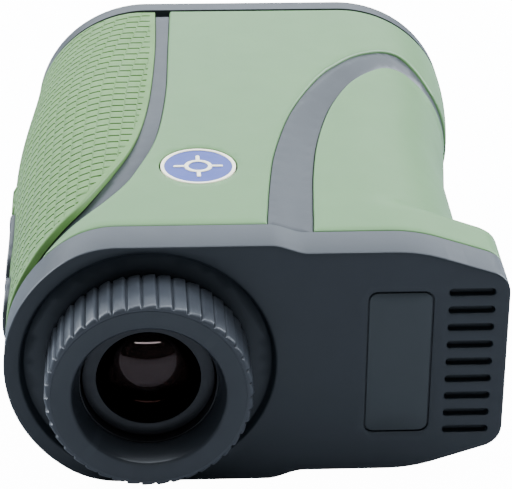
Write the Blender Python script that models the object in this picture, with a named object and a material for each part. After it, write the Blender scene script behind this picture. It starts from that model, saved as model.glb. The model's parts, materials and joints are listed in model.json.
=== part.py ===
"""Handheld laser rangefinder lying on its left side.

+Z up is the device's right side, +Y is the aiming direction (away from the eye), +X is the device's
bottom.  The driving dimensions are in millimetres, measured from the eyepiece axis (x), the rear face (y)
and the mid-plane between the two housing halves (z).  Objects are placed in metres, so that the origin
is the centre of the bounding box's bottom face.
"""
import math

import bmesh
import bpy
from mathutils import Matrix, Vector

MM = 0.001
GAP = 0.3                       # clearance between pieces that meet

# ---- body ---------------------------------------------------------------------------------------
HALF_THICK = 21.5               # flat sides at z = +/- this
TOP_RADIUS = (23.0, 21.5)       # rounded top end: rear, front
TOP_SHIFT = 1.8                 # how far the top end's centre moves down towards the front
TOP_TAPER = (60.0, 108.0)       # stretch over which the top end tapers
SHOULDER = 15.0                 # radius between the rounded top end and the flat side
BELLY_CENTRE = 38.2             # centre of the rounded bottom end, radius HALF_THICK
BELLY_WAIST = 5.3               # how far that centre moves up towards the waist
BELLY_FADE = (48.0, 99.0)
COVER_DEPTH = 7.4               # rear cover, from the rear face forwards
BODY_END = 99.8                 # front end of housing and panels
BEZEL_START = 100.2
BEZEL_END = 104.4
BEZEL_EDGE = 0.9                # chamfer round the front
PANEL_THICK = 1.2
SHELL_OUT = 1.5                 # housing's outer face below the panels' outer face
SHELL_IN = 3.3                  # housing's inner face
STRIPE_DROP = 0.15              # arc stripe's face below the side panel
STRIPE_IN = 2.2                 # arc stripe's inner face, inside the housing's wall

# ---- finger recess and heel ---------------------------------------------------------------------
RECESS_LEVEL = (20.0, 20.7)     # half thickness inside the recess: rear, front
RECESS_START = 19.45            # x where the recess begins at the rear face
HEEL_END = 57.5                 # flat bottom end of the heel
HEEL_CHAMFER_X = 42.7
HEEL_CHAMFER_SLOPE = 0.33
HEEL_CORNER = 4.0
HEEL_FADE = (15.5, 22.0)        # stretch over which the boxy heel turns into the round waist
WAIST_END = (54.7, 57.0)        # bottom end of the waist: middle, front of the recess
RAMP_WIDTH = 6.0                # width of the slope from the rim into the recess
RIM = [(19.0, -2.0), (19.25, 8.0), (19.7, 14.0), (20.65, 24.0), (21.85, 33.6), (23.95, 44.0), (26.3, 52.8),
       (29.75, 62.0), (33.35, 69.5), (36.75, 74.0), (39.35, 77.0), (43.0, 80.3), (46.5, 83.0), (50.0, 84.3),
       (54.0, 83.2), (58.0, 81.7), (62.0, 81.5), (66.0, 81.6), (71.97, 81.7)]
PANEL_RIM = [(26.2, -2.0), (26.55, 8.0), (26.85, 12.0), (27.1, 16.0), (27.4, 20.0), (27.85, 26.0),
             (28.45, 32.0), (29.5, 40.0), (31.4, 49.5), (33.9, 58.0), (37.35, 65.5), (40.25, 70.0), (43.0, 73.6), (45.8, 76.8),
             (48.5, 78.9), (51.0, 79.9), (54.0, 79.6), (58.0, 79.2), (62.0, 79.3), (66.0, 79.4), (71.97, 79.5)]
STRIPE_END = 52.5               # x where the arc stripe runs out under the side panel's rim

# ---- grip and side panel edges, seen from the side (x, y) ---------------------------------------
GRIP_EDGE = [(3.3, 102.0), (2.8, 80.0), (1.3, 57.3), (-1.0, 41.6), (-4.8, 29.2), (-10.0, 18.6),
             (-14.5, 14.2), (-17.8, 12.0), (-20.6, 10.4), (-27.0, 8.8)]
SIDE_EDGE = [(6.0, 102.0), (5.1, 80.0), (4.2, 60.0), (2.1, 41.5), (-1.6, 28.0), (-4.0, 21.9), (-6.8, 17.0),
             (-9.5, 13.8), (-12.5, 11.2), (-15.2, 9.2), (-17.8, 7.2), (-19.8, 5.4), (-21.2, 3.6)]
GRIP_END = 99.3

# ---- rear face ----------------------------------------------------------------------------------
COVER_PLATE = 3.2
COVER_WALL = 2.2
DISH_RADIUS = 20.3
DISH_DEPTH = 1.7
LABEL_X = (34.8, 45.4)
LABEL_Z = 12.9
LABEL_DEPTH = 0.6
SLOT_COUNT = 9
SLOT_PITCH = 3.15
SLOT_X = (47.7, 55.1)
SLOT_WIDTH = 1.3
SLOT_DEPTH = 1.3

# ---- eyepiece -----------------------------------------------------------------------------------
EYECUP_FACE = -9.46
EYECUP_RADIUS = 16.47
EYECUP_OPENING = 12.0
EYECUP_RIBS = 42
RIB_DEPTH = 0.5
TUBE_OUT = 12.7
TUBE_IN = 10.8
CELL_OUT = 10.5
CELL_IN = 8.8

# ---- front optics and battery -------------------------------------------------------------------
OBJECTIVE_OUT = 13.9
OBJECTIVE_IN = 12.8
LASER_X = 26.0
LASER_OUT = 8.7
LASER_IN = 7.8
BATTERY_X = 44.0
BATTERY_RADIUS = 7.8
BATTERY_Y = (70.0, 96.8)
BATTERY_TUBE_OUT = 8.6
CAP_RADIUS = 8.6

# ---- buttons on the top edge --------------------------------------------------------------------
MEASURE_Y = (29.0, 49.0)
MODE_Y = (14.5, 25.5)
BUTTON_HALF_WIDTH = 5.2
BUTTON_PROUD = 0.7
BUTTON_SEAT = -18.1             # x of the flange that keeps a button in its window
FLANGE_WIDTH = 1.1

# ---- screws -------------------------------------------------------------------------------------
HOUSING_SCREWS = [(17.0, 16.5), (49.5, 14.0), (17.4, 64.5), (41.0, 63.6)]
SCREW_LEVELS = [HALF_THICK, 16.6, HALF_THICK, 19.2]     # half thickness of the body at each screw
COVER_SCREW_X = 40.1
COVER_SCREW_Z = 9.0
SCREW_RADIUS = 0.8
SCREW_HOLE = 1.1
HEAD_RADIUS = 1.9
HEAD_HEIGHT = 1.5
HEAD_SINK = 2.2                 # screw head's top below the body's outer face
SEAT_SINK = 4.0
BOSS_RADIUS = 3.0

# ---- badge, cross walls, battery spring ---------------------------------------------------------
BADGE_CENTRE = (9.0, 29.6)
BADGE_RADII = (6.3, 6.8)
BADGE_DEPTH = 0.8
FRAME_PLAY = 1.1                # between a cross wall and the housing
FRAME_TOP = -12.9               # a cross wall's top and bottom ends
FRAME_REACH = 48.0
SPRING_WIRE = 0.22
SPRING_TURNS = 2
SPRING_RADII = (5.6, 3.0)
SPRING_Y = (68.55, 69.45)

# ---- mesh resolution ----------------------------------------------------------------------------
ROUND = 32                      # sides of a round piece
STATIONS = [COVER_DEPTH + GAP, 12.5, 18.0, 22.5, 31.0, 43.0, 53.0, 60.0, 66.0, 71.5, 77.0, 81.5, 86.0, 92.0,
            BODY_END]
FLAT_COLUMNS = [3.0, 12.0, 19.0, 22.5, 26.0, 32.0]
FLAT_START = -3.0
TOP_COLUMNS = 6
BOTTOM_COLUMNS = 7

X_RANGE = (-TOP_RADIUS[0] - BUTTON_PROUD, BELLY_CENTRE + HALF_THICK)
ORIGIN = Vector((sum(X_RANGE) / 2, (EYECUP_FACE + BEZEL_END) / 2, -HALF_THICK))


# ================================================================================= small geometry

def smooth(value, low, high):
    t = min(max((value - low) / (high - low), 0.0), 1.0)
    return t * t * (3 - 2 * t)


def mix(a, b, t):
    return a + (b - a) * t


def spline(points, steps):
    """Catmull-Rom curve through the points."""
    first = (2 * points[0][0] - points[1][0], 2 * points[0][1] - points[1][1])
    last = (2 * points[-1][0] - points[-2][0], 2 * points[-1][1] - points[-2][1])
    padded = [first] + list(points) + [last]
    curve = []
    for p0, p1, p2, p3 in zip(padded, padded[1:], padded[2:], padded[3:]):
        for step in range(steps):
            t = step / steps
            curve.append(tuple(
                0.5 * (2 * b + (c - a) * t + (2 * a - 5 * b + 4 * c - d) * t * t
                       + (3 * b - a - 3 * c + d) * t ** 3)
                for a, b, c, d in zip(p0, p1, p2, p3)))
    curve.append(tuple(points[-1]))
    return curve


def arc_points(centre, radius, start, end, steps):
    return [(centre[0] + radius * math.cos(mix(start, end, i / steps)),
             centre[1] + radius * math.sin(mix(start, end, i / steps))) for i in range(steps + 1)]


def along(points, fraction):
    """Point at a fraction of a polyline's length."""
    lengths = [math.dist(a, b) for a, b in zip(points, points[1:])]
    left = fraction * sum(lengths)
    for a, b, length in zip(points, points[1:], lengths):
        if left <= length:
            return (mix(a[0], b[0], left / length), mix(a[1], b[1], left / length))
        left -= length
    return points[-1]


def distance_to(points, x, y):
    """Distance from (x, y) to a polyline."""
    best = 1e9
    for (ax, ay), (bx, by) in zip(points, points[1:]):
        dx, dy = bx - ax, by - ay
        t = min(max(((x - ax) * dx + (y - ay) * dy) / (dx * dx + dy * dy), 0.0), 1.0)
        best = min(best, math.hypot(x - ax - t * dx, y - ay - t * dy))
    return best


def inside(points, x, y):
    """Whether (x, y) lies in the area between a rim curve and the rear, bottom corner."""
    corner = (points[-1][0] + 5.0, points[-1][1])
    ring = list(points) + [corner, (corner[0], points[0][1])]
    hit = False
    for (ax, ay), (bx, by) in zip(ring, ring[1:] + ring[:1]):
        if (ay > y) != (by > y) and x < ax + (y - ay) / (by - ay) * (bx - ax):
            hit = not hit
    return hit


# ================================================================================= the body's skin
# A point of the skin is named by s, the length along a cross-section measured as x on the flat side,
# and by y.  It runs from the top ridge (z = 0) over the flat side to the middle of the bottom (z = 0).

S_BOTTOM = BELLY_CENTRE + HALF_THICK * math.pi / 2
RIM_CURVE = spline(RIM, 6)
PANEL_RIM_CURVE = spline(PANEL_RIM, 6)


def top_end(y):
    """Centre and radius of the rounded top end, where its shoulder starts and the shoulder's angle."""
    taper = smooth(y, *TOP_TAPER)
    radius = mix(*TOP_RADIUS, taper)
    centre = TOP_SHIFT * taper
    rise = HALF_THICK - SHOULDER
    start = centre - math.sqrt(max((radius - SHOULDER) ** 2 - rise ** 2, 0.0))
    return centre, radius, start, math.atan2(centre - start, rise)


def ridge(y):
    """s at the top ridge."""
    centre, radius, start, angle = top_end(y)
    return start - SHOULDER * angle - radius * (math.pi / 2 - angle)


def upper(s, y):
    """(x, z) on the side panel's level: rounded top end, shoulder, flat side and rounded bottom end."""
    centre, radius, start, angle = top_end(y)
    if s < start - SHOULDER * angle:
        phi = angle + (start - SHOULDER * angle - s) / radius
        return (centre - radius * math.sin(phi), radius * math.cos(phi))
    if s < start:
        phi = (start - s) / SHOULDER
        return (start - SHOULDER * math.sin(phi), HALF_THICK - SHOULDER * (1 - math.cos(phi)))
    belly = BELLY_CENTRE - BELLY_WAIST * (1 - smooth(y, *BELLY_FADE))
    if s <= belly:
        return (s, HALF_THICK)
    phi = (s - belly) / (S_BOTTOM - belly) * math.pi / 2
    return (belly + HALF_THICK * math.sin(phi), HALF_THICK * math.cos(phi))


def heel_outline():
    """Half section of the boxy heel from the recess's start to the middle of the bottom."""
    level = RECESS_LEVEL[0]
    turn = math.pi / 2 - math.atan(HEEL_CHAMFER_SLOPE)
    cut = HEEL_CORNER * math.tan(turn / 2)
    corner_z = level - HEEL_CHAMFER_SLOPE * (HEEL_END - HEEL_CHAMFER_X)
    centre = (HEEL_END - HEEL_CORNER, corner_z - cut)
    corner = arc_points(centre, HEEL_CORNER, turn, 0.0, 5)
    return [(RECESS_START, level), (HEEL_CHAMFER_X, level)] + corner + [(HEEL_END, 0.0)]


def waist_outline(y):
    level = mix(*RECESS_LEVEL, smooth(y, 40.0, 80.0))
    end = mix(*WAIST_END, smooth(y, 52.0, 80.0))
    centre = (end - level, 0.0)
    return [(RECESS_START, level)] + arc_points(centre, level, math.pi / 2, 0.0, 12)


HEEL = heel_outline()


def at_length(outline, s):
    """Point of a half section at s, which is x on its first, flat stretch."""
    flat_end = outline[1][0]
    if s <= flat_end:
        return (s, outline[0][1])
    return along(outline[1:], (s - flat_end) / (S_BOTTOM - flat_end))


def lower(s, y):
    """(x, z) on the finger panel's level."""
    heel = at_length(HEEL, s)
    waist = at_length(waist_outline(y), s)
    fade = smooth(y, *HEEL_FADE)
    return (mix(heel[0], waist[0], fade), mix(heel[1], waist[1], fade))


def skin(s, y):
    """(x, z) on the body's outer face, with the recess sinking in from its rim."""
    high = upper(s, y)
    if s < RECESS_START - 1.0 or not inside(RIM_CURVE, s, y):
        return high
    sink = smooth(distance_to(RIM_CURVE, s, y), 0.0, RAMP_WIDTH)
    low = lower(s, y)
    return (mix(high[0], low[0], sink), mix(high[1], low[1], sink))


# ================================================================================= making objects

def material(name, colour, roughness, metallic=0.0):
    made = bpy.data.materials.get(name)
    if made is None:
        made = bpy.data.materials.new(name)
        made.use_nodes = True
        shader = made.node_tree.nodes["Principled BSDF"]
        shader.inputs["Base Color"].default_value = (*colour, 1.0)
        shader.inputs["Roughness"].default_value = roughness
        shader.inputs["Metallic"].default_value = metallic
    return made


GREEN_RUBBER = ("green_rubber", (0.088, 0.185, 0.058), 0.55)
GREEN_PAINT = ("green_paint", (0.088, 0.185, 0.058), 0.45)
CHARCOAL = ("charcoal_plastic", (0.022, 0.026, 0.031), 0.45)
BLACK_RUBBER = ("black_rubber", (0.02, 0.02, 0.022), 0.7)
BLACK_METAL = ("black_metal", (0.015, 0.015, 0.018), 0.45, 0.6)
GLASS = ("coated_glass", (0.10, 0.07, 0.12), 0.05)
BLUE_ENAMEL = ("blue_enamel", (0.05, 0.08, 0.30), 0.25)
STEEL = ("bright_steel", (0.6, 0.6, 0.6), 0.3, 1.0)
BOARD = ("board_green", (0.02, 0.14, 0.06), 0.45)
COPPER = ("copper_wire", (0.55, 0.25, 0.1), 0.35, 1.0)
GREY_LABEL = ("label_film", (0.04, 0.045, 0.05), 0.35)


def add(name, bm, finish, pivot=(0.0, 0.0, 0.0), sharp=35.0):
    """Object from a mesh drawn in body millimetres; its origin is put at pivot."""
    bmesh.ops.remove_doubles(bm, verts=bm.verts, dist=0.001)
    bmesh.ops.recalc_face_normals(bm, faces=bm.faces)
    pivot = Vector(pivot)
    bmesh.ops.transform(bm, matrix=Matrix.Scale(MM, 4) @ Matrix.Translation(-pivot), verts=bm.verts)
    mesh = bpy.data.meshes.new(name)
    bm.to_mesh(mesh)
    bm.free()
    mesh.shade_smooth()
    mesh.set_sharp_from_angle(angle=math.radians(sharp))
    made = bpy.data.objects.new(name, mesh)
    made.location = (pivot - ORIGIN) * MM
    mesh.materials.append(material(*finish))
    bpy.context.collection.objects.link(made)
    return made


def cutter(name, bm):
    made = add(name, bm, CHARCOAL)
    made.hide_render = True
    made.display_type = "WIRE"
    return made


def boolean(target, tool, operation="DIFFERENCE"):
    step = target.modifiers.new(operation.lower() + "_" + tool.name, "BOOLEAN")
    step.operation = operation
    step.solver = "EXACT"
    step.object = tool


def prism(points, low, high, axis="z"):
    """Closed prism over a polygon: (x, y) points along z, or (x, z) points along y."""
    bm = bmesh.new()

    def place(p, height):
        return (p[0], p[1], height) if axis == "z" else (p[0], height, p[1])

    bottom = [bm.verts.new(place(p, low)) for p in points]
    top = [bm.verts.new(place(p, high)) for p in points]
    bm.faces.new(bottom)
    bm.faces.new(list(reversed(top)))
    for i, vert in enumerate(bottom):
        j = (i + 1) % len(points)
        bm.faces.new((vert, top[i], top[j], bottom[j]))
    return bm


def box(low, high):
    bm = bmesh.new()
    bmesh.ops.create_cube(bm, size=1.0)
    size = [b - a for a, b in zip(low, high)]
    centre = [(a + b) / 2 for a, b in zip(low, high)]
    bmesh.ops.scale(bm, vec=size, verts=bm.verts)
    bmesh.ops.translate(bm, vec=centre, verts=bm.verts)
    return bm


def turned(profile, centre_x, segments=32, closed=False):
    """Solid of revolution about a line along y; profile is (radius, y) points, closed for a ring."""
    bm = bmesh.new()
    loops = []
    flat_low = profile[0][0] < 1e-6 and abs(profile[0][1] - profile[1][1]) < 1e-6
    flat_high = profile[-1][0] < 1e-6 and abs(profile[-1][1] - profile[-2][1]) < 1e-6
    for radius, height in profile[int(flat_low):len(profile) - int(flat_high)]:
        if radius < 1e-6:
            loops.append([bm.verts.new((centre_x, height, 0.0))])
            continue
        loops.append([bm.verts.new((centre_x + radius * math.cos(2 * math.pi * i / segments), height,
                                    radius * math.sin(2 * math.pi * i / segments)))
                      for i in range(segments)])
    if flat_low:
        bm.faces.new(loops[0])
    if flat_high:
        bm.faces.new(list(reversed(loops[-1])))
    pairs = list(zip(loops, loops[1:]))
    if closed:
        pairs.append((loops[-1], loops[0]))
    for a, b in pairs:
        for i in range(segments):
            j = (i + 1) % segments
            if len(a) == 1:
                bm.faces.new((a[0], b[i], b[j]))
            elif len(b) == 1:
                bm.faces.new((a[i], b[0], a[j]))
            else:
                bm.faces.new((a[i], b[i], b[j], a[j]))
    return bm


def ring(inner, outer, low, high, centre_x=0.0, segments=24):
    profile = [(inner, low), (outer, low), (outer, high), (inner, high)]
    return turned(profile, centre_x, segments, closed=True)


def disc(radius, low, high, centre_x=0.0, segments=24):
    return turned([(0.0, low), (radius, low), (radius, high), (0.0, high)], centre_x, segments)


def lens(radius, low, high, sag_low, sag_high, centre_x=0.0, segments=24):
    """Lens between two vertices at low and high, whose faces fall back by a sag at the rim."""
    profile = []
    for i in range(4):
        t = i / 3
        profile.append((radius * t, low + sag_low * t * t))
    for i in range(4):
        t = 1 - i / 3
        profile.append((radius * t, high - sag_high * t * t))
    return turned(profile, centre_x, segments)


def slab(rows):
    """Closed sheet of even thickness; rows is a grid of (outer, inner) point pairs."""
    bm = bmesh.new()
    outer = [[bm.verts.new(pair[0]) for pair in row] for row in rows]
    inner = [[bm.verts.new(pair[1]) for pair in row] for row in rows]
    for a, b in zip(outer, outer[1:]):
        for i in range(len(a) - 1):
            bm.faces.new((a[i], a[i + 1], b[i + 1], b[i]))
    for a, b in zip(inner, inner[1:]):
        for i in range(len(a) - 1):
            bm.faces.new((a[i], b[i], b[i + 1], a[i + 1]))
    for i in range(len(outer[0]) - 1):
        bm.faces.new((outer[0][i], inner[0][i], inner[0][i + 1], outer[0][i + 1]))
        bm.faces.new((outer[-1][i], outer[-1][i + 1], inner[-1][i + 1], inner[-1][i]))
    for j in range(len(outer) - 1):
        bm.faces.new((outer[j][0], outer[j + 1][0], inner[j + 1][0], inner[j][0]))
        bm.faces.new((outer[j][-1], inner[j][-1], inner[j + 1][-1], outer[j + 1][-1]))
    return bm


def skin_normal(surface, s, y):
    """Outward normal of a section at s, as (x, z)."""
    step = 0.05
    a = surface(max(s - step, ridge(y)), y)
    b = surface(min(s + step, S_BOTTOM), y)
    tangent = (b[0] - a[0], b[1] - a[1])
    length = math.hypot(*tangent)
    return (-tangent[1] / length, tangent[0] / length)


def skin_grid(surface, stations, columns, out_depth, in_depth, side=1):
    """Grid of point pairs over half the body, sunk by out_depth and in_depth; columns(y) lists s."""
    rows = []
    for y in stations:
        row = []
        for s in columns(y):
            x, z = surface(s, y)
            nx, nz = skin_normal(surface, s, y)
            pair = []
            for depth in (out_depth, in_depth):
                height = max(z - nz * depth, GAP / 2)
                pair.append((x - nx * depth, y, side * height))
            row.append(pair)
        rows.append(row)
    return rows


def body_columns(y):
    """Values of s from the top ridge to the middle of the bottom."""
    low = ridge(y)
    top = [mix(low, FLAT_START, i / TOP_COLUMNS) for i in range(TOP_COLUMNS + 1)]
    bottom = [mix(BELLY_CENTRE, S_BOTTOM, i / BOTTOM_COLUMNS) for i in range(BOTTOM_COLUMNS + 1)]
    return top + FLAT_COLUMNS + bottom


def offset(points, distance):
    """Polyline moved sideways, to its right, by a distance."""
    moved = []
    for i, (x, y) in enumerate(points):
        ax, ay = points[max(i - 1, 0)]
        bx, by = points[min(i + 1, len(points) - 1)]
        length = math.hypot(bx - ax, by - ay)
        moved.append((x + (by - ay) / length * distance, y - (bx - ax) / length * distance))
    return moved


def rim_area(curve, surface, shrink=0.0):
    """(x, y) polygon from a rim curve of the recess to beyond the rear, bottom corner."""
    edge = [(surface(s, max(y, 0.0))[0], y) for s, y in curve]
    edge = offset(edge, shrink)
    return edge + [(66.0, edge[-1][1]), (66.0, -6.0), (edge[0][0], -6.0)]


def section(surface, y, depth):
    """Closed (x, z) outline of the body at y, sunk by depth."""
    half = []
    for s in body_columns(y):
        x, z = surface(s, y)
        nx, nz = skin_normal(surface, s, y)
        half.append((x - nx * depth, z - nz * depth))
    half[0] = (half[0][0], 0.0)
    half[-1] = (half[-1][0], 0.0)
    return half + [(x, -z) for x, z in reversed(half[1:-1])]


def loft(outlines):
    """Closed solid through (outline, y) sections with the same number of points."""
    bm = bmesh.new()
    loops = [[bm.verts.new((x, y, z)) for x, z in outline] for outline, y in outlines]
    bm.faces.new(loops[0])
    bm.faces.new(list(reversed(loops[-1])))
    for a, b in zip(loops, loops[1:]):
        for i in range(len(a)):
            j = (i + 1) % len(a)
            bm.faces.new((a[i], b[i], b[j], a[j]))
    return bm


def join(*parts):
    """One bmesh from several that don't touch."""
    whole = bmesh.new()
    for part in parts:
        mesh = bpy.data.meshes.new("part")
        part.to_mesh(mesh)
        part.free()
        whole.from_mesh(mesh)
        bpy.data.meshes.remove(mesh)
    return whole


def stadium(centre, half_length, half_width, steps=6):
    """Outline of a slot, long along its first axis."""
    reach = half_length - half_width
    right = arc_points((centre[0] + reach, centre[1]), half_width, -math.pi / 2, math.pi / 2, steps)
    left = arc_points((centre[0] - reach, centre[1]), half_width, math.pi / 2, 3 * math.pi / 2, steps)
    return right + left


def rounded_box(x_range, z_range, radius, steps=4):
    points = []
    low_x, high_x = x_range[0] + radius, x_range[1] - radius
    low_z, high_z = z_range[0] + radius, z_range[1] - radius
    for quarter, corner in enumerate([(high_x, high_z), (low_x, high_z), (low_x, low_z), (high_x, low_z)]):
        start = quarter * math.pi / 2
        points += arc_points(corner, radius, start, start + math.pi / 2, steps)
    return points


def ellipse(centre, radii, steps=36):
    return [(centre[0] + radii[0] * math.cos(2 * math.pi * i / steps),
             centre[1] + radii[1] * math.sin(2 * math.pi * i / steps)) for i in range(steps)]


def across(points, low, high):
    """Prism over (y, z) points, running along x."""
    bm = prism(points, low, high, axis="y")
    return swap(bm, (0.0, 0.0), "x")


def swap(bm, centre, axis):
    """Turn a solid drawn along y to lie along x or z; centre is its place on the other two axes."""
    for vert in bm.verts:
        x, y, z = vert.co
        if axis == "x":
            vert.co = (y, x + centre[0], z + centre[1])
        else:
            vert.co = (x + centre[0], z + centre[1], y)
    return bm


# ================================================================================= housing and covers

def boss(x, y, level, side):
    """Screw post from the joint plane into the housing's wall, under an outer face at a level."""
    height = level - (SHELL_OUT + SHELL_IN) / 2
    return swap(disc(BOSS_RADIUS, side * GAP / 2, side * height, segments=20), (x, y), "z")


def arc_stripe(side):
    """Raised stripe of the housing that shows between the side panel and the finger panel."""
    name = "right" if side > 0 else "left"
    rows = skin_grid(skin, STATIONS, body_columns, STRIPE_DROP, STRIPE_IN, side)
    stripe = cutter("guide_stripe_" + name, slab(rows))
    low, high = sorted((0.0, side * 30.0))
    outer = cutter("cut_stripe_outer_" + name, prism(rim_area(RIM_CURVE, upper, GAP), low, high))
    inner = cutter("cut_stripe_inner_" + name, prism(rim_area(PANEL_RIM_CURVE, skin), low, high))
    end = cutter("cut_stripe_end_" + name, box((STRIPE_END, 40.0, -25.0), (70.0, 100.0, 25.0)))
    boolean(stripe, outer, "INTERSECT")
    boolean(stripe, inner)
    boolean(stripe, end)
    return stripe


def housing(side):
    name = "right" if side > 0 else "left"
    shell = add(name + "_housing", slab(skin_grid(skin, STATIONS, body_columns, SHELL_OUT, SHELL_IN, side)),
                CHARCOAL)
    boolean(shell, arc_stripe(side), "UNION")
    for number, (x, y) in enumerate(HOUSING_SCREWS):
        level = SCREW_LEVELS[number]
        post = cutter("guide_boss_{}_{}".format(name, number + 1), boss(x, y, level, side))
        boolean(shell, post, "UNION")
        if side > 0:
            profile = [(0.0, -1.0), (SCREW_HOLE, -1.0), (SCREW_HOLE, 11.0), (0.0, 11.0)]
        else:
            seat = -(level - SEAT_SINK)
            profile = [(0.0, 1.0), (SCREW_HOLE, 1.0), (SCREW_HOLE, seat), (HEAD_RADIUS + GAP, seat),
                       (HEAD_RADIUS + GAP, -level), (0.0, -level)]
        hole = cutter("cut_screw_{}_{}".format(name, number + 1), swap(turned(profile, 0.0, 20), (x, y), "z"))
        boolean(shell, hole)
    for label, (low, high) in (("measure", MEASURE_Y), ("mode", MODE_Y)):
        outline = stadium(((low + high) / 2, 0.0), (high - low) / 2 + GAP, BUTTON_HALF_WIDTH + GAP)
        window = cutter("cut_{}_{}".format(label, name), across(outline, -30.0, -15.0))
        boolean(shell, window)
    return shell


def housing_screw(number):
    x, y = HOUSING_SCREWS[number]
    top = -(SCREW_LEVELS[number] - HEAD_SINK)
    neck = top + HEAD_HEIGHT
    profile = [(0.0, top), (HEAD_RADIUS, top), (HEAD_RADIUS, neck), (SCREW_RADIUS, neck), (SCREW_RADIUS, 9.0),
               (0.0, 9.0)]
    add("housing_screw_{}".format(number + 1), swap(turned(profile, 0.0, 16), (x, y), "z"), STEEL,
        pivot=(x, y, top))


def side_panel(side):
    name = "right" if side > 0 else "left"
    panel = add(name + "_side_panel", slab(skin_grid(upper, STATIONS, body_columns, 0.0, PANEL_THICK, side)),
                GREEN_PAINT)
    low, high = sorted((0.0, side * 30.0))
    edge = spline(SIDE_EDGE, 4)
    beyond = edge + [(-40.0, edge[-1][1]), (-40.0, 104.0), (edge[0][0], 104.0)]
    front = cutter("cut_side_front_" + name, prism(beyond, low, high))
    recess = cutter("cut_side_recess_" + name, prism(rim_area(RIM_CURVE, upper), low, high))
    boolean(panel, front)
    boolean(panel, recess)
    if side > 0:
        seat = cutter("cut_badge", prism(ellipse(BADGE_CENTRE, [r + GAP for r in BADGE_RADII]),
                                         HALF_THICK - BADGE_DEPTH, HALF_THICK + 1.0))
        boolean(panel, seat)
    return panel


def side_badge():
    bm = prism(ellipse(BADGE_CENTRE, BADGE_RADII), HALF_THICK - BADGE_DEPTH + GAP, HALF_THICK)
    add("side_badge", bm, BLUE_ENAMEL, pivot=(*BADGE_CENTRE, HALF_THICK))


def finger_panel(side):
    name = "right" if side > 0 else "left"
    panel = add(name + "_finger_panel", slab(skin_grid(skin, STATIONS, body_columns, 0.0, PANEL_THICK, side)),
                GREEN_PAINT)
    low, high = sorted((0.0, side * 30.0))
    area = cutter("cut_finger_" + name, prism(rim_area(PANEL_RIM_CURVE, skin, GAP), low, high))
    rim = cutter("cut_finger_rim_" + name, prism(rim_area(RIM_CURVE, upper, GAP), low, high))
    boolean(panel, area, "INTERSECT")
    boolean(panel, rim, "INTERSECT")
    return panel


def top_grip():
    """Textured rubber over the top, from one side to the other."""
    stations = [8.3] + STATIONS[1:-1] + [GRIP_END]
    rows = []
    for y in stations:
        columns = [s for s in body_columns(y) if s < 4.0] + [4.5]
        half = []
        for s in columns:
            x, z = upper(s, y)
            nx, nz = skin_normal(upper, s, y)
            half.append(((x, y, z), (x - nx * PANEL_THICK, y, z - nz * PANEL_THICK)))
        half[0] = tuple((x, y, 0.0) for x, y, z in half[0])
        mirrored = [tuple((x, y, -z) for x, y, z in pair) for pair in reversed(half[1:])]
        rows.append(mirrored + half)
    grip = add("top_grip", slab(rows), GREEN_RUBBER)
    edge = spline(GRIP_EDGE, 4)
    area = edge + [(-27.0, 0.0), (40.0, 0.0), (40.0, 104.0), (edge[0][0], 104.0)]
    boolean(grip, cutter("cut_grip", prism(area, -30.0, 30.0)))
    for label, (low, high) in (("measure", MEASURE_Y), ("mode", MODE_Y)):
        outline = stadium(((low + high) / 2, 0.0), (high - low) / 2 + GAP, BUTTON_HALF_WIDTH + GAP)
        boolean(grip, cutter("cut_grip_" + label, across(outline, -30.0, -15.0)))


def rear_cover():
    outline = section(skin, COVER_DEPTH, 0.0)
    softened = section(skin, COVER_DEPTH, 0.4)
    cover = add("rear_cover", loft([(softened, 0.0), (outline, 0.4), (outline, COVER_DEPTH)]), CHARCOAL)
    inner = section(skin, COVER_DEPTH, COVER_WALL)
    boolean(cover, cutter("cut_cover_inside", loft([(inner, COVER_PLATE), (inner, COVER_DEPTH + 1.0)])))
    boolean(cover, cutter("cut_cover_hole", disc(TUBE_OUT + GAP, -1.0, 5.0, segments=ROUND)))
    boolean(cover, cutter("cut_cover_dish", disc(DISH_RADIUS, -1.0, DISH_DEPTH, segments=44)))
    label = rounded_box(LABEL_X, (-LABEL_Z, LABEL_Z), 1.6)
    boolean(cover, cutter("cut_cover_label", prism(label, -1.0, LABEL_DEPTH, axis="y")))
    slots = []
    for i in range(SLOT_COUNT):
        centre = (sum(SLOT_X) / 2, (i - (SLOT_COUNT - 1) / 2) * SLOT_PITCH)
        outline = stadium(centre, (SLOT_X[1] - SLOT_X[0]) / 2, SLOT_WIDTH / 2, steps=4)
        slots.append(prism(outline, -1.0, SLOT_DEPTH, axis="y"))
    boolean(cover, cutter("cut_cover_slots", join(*slots)))
    holes = []
    for z in (-COVER_SCREW_Z, COVER_SCREW_Z):
        hole = turned([(0.0, 0.3), (2.1, 0.3), (2.1, 2.0), (SCREW_HOLE, 2.0), (SCREW_HOLE, 5.0), (0.0, 5.0)],
                      COVER_SCREW_X, 16)
        bmesh.ops.translate(hole, vec=(0.0, 0.0, z), verts=hole.verts)
        holes.append(hole)
    boolean(cover, cutter("cut_cover_screws", join(*holes)))


def label_plate():
    outline = rounded_box((LABEL_X[0] + GAP, LABEL_X[1] - GAP), (-LABEL_Z + GAP, LABEL_Z - GAP), 1.3)
    add("label_plate", prism(outline, 0.02, LABEL_DEPTH - 0.25, axis="y"), GREY_LABEL)


def cover_screw(number):
    z = COVER_SCREW_Z * (1 if number else -1)
    profile = [(0.0, 0.75), (1.8, 0.75), (1.8, 1.75), (SCREW_RADIUS, 1.75), (SCREW_RADIUS, 12.0), (0.0, 12.0)]
    bm = turned(profile, COVER_SCREW_X, 16)
    bmesh.ops.translate(bm, vec=(0.0, 0.0, z), verts=bm.verts)
    add("cover_screw_{}".format(number + 1), bm, STEEL, pivot=(COVER_SCREW_X, 0.75, z))


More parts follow.
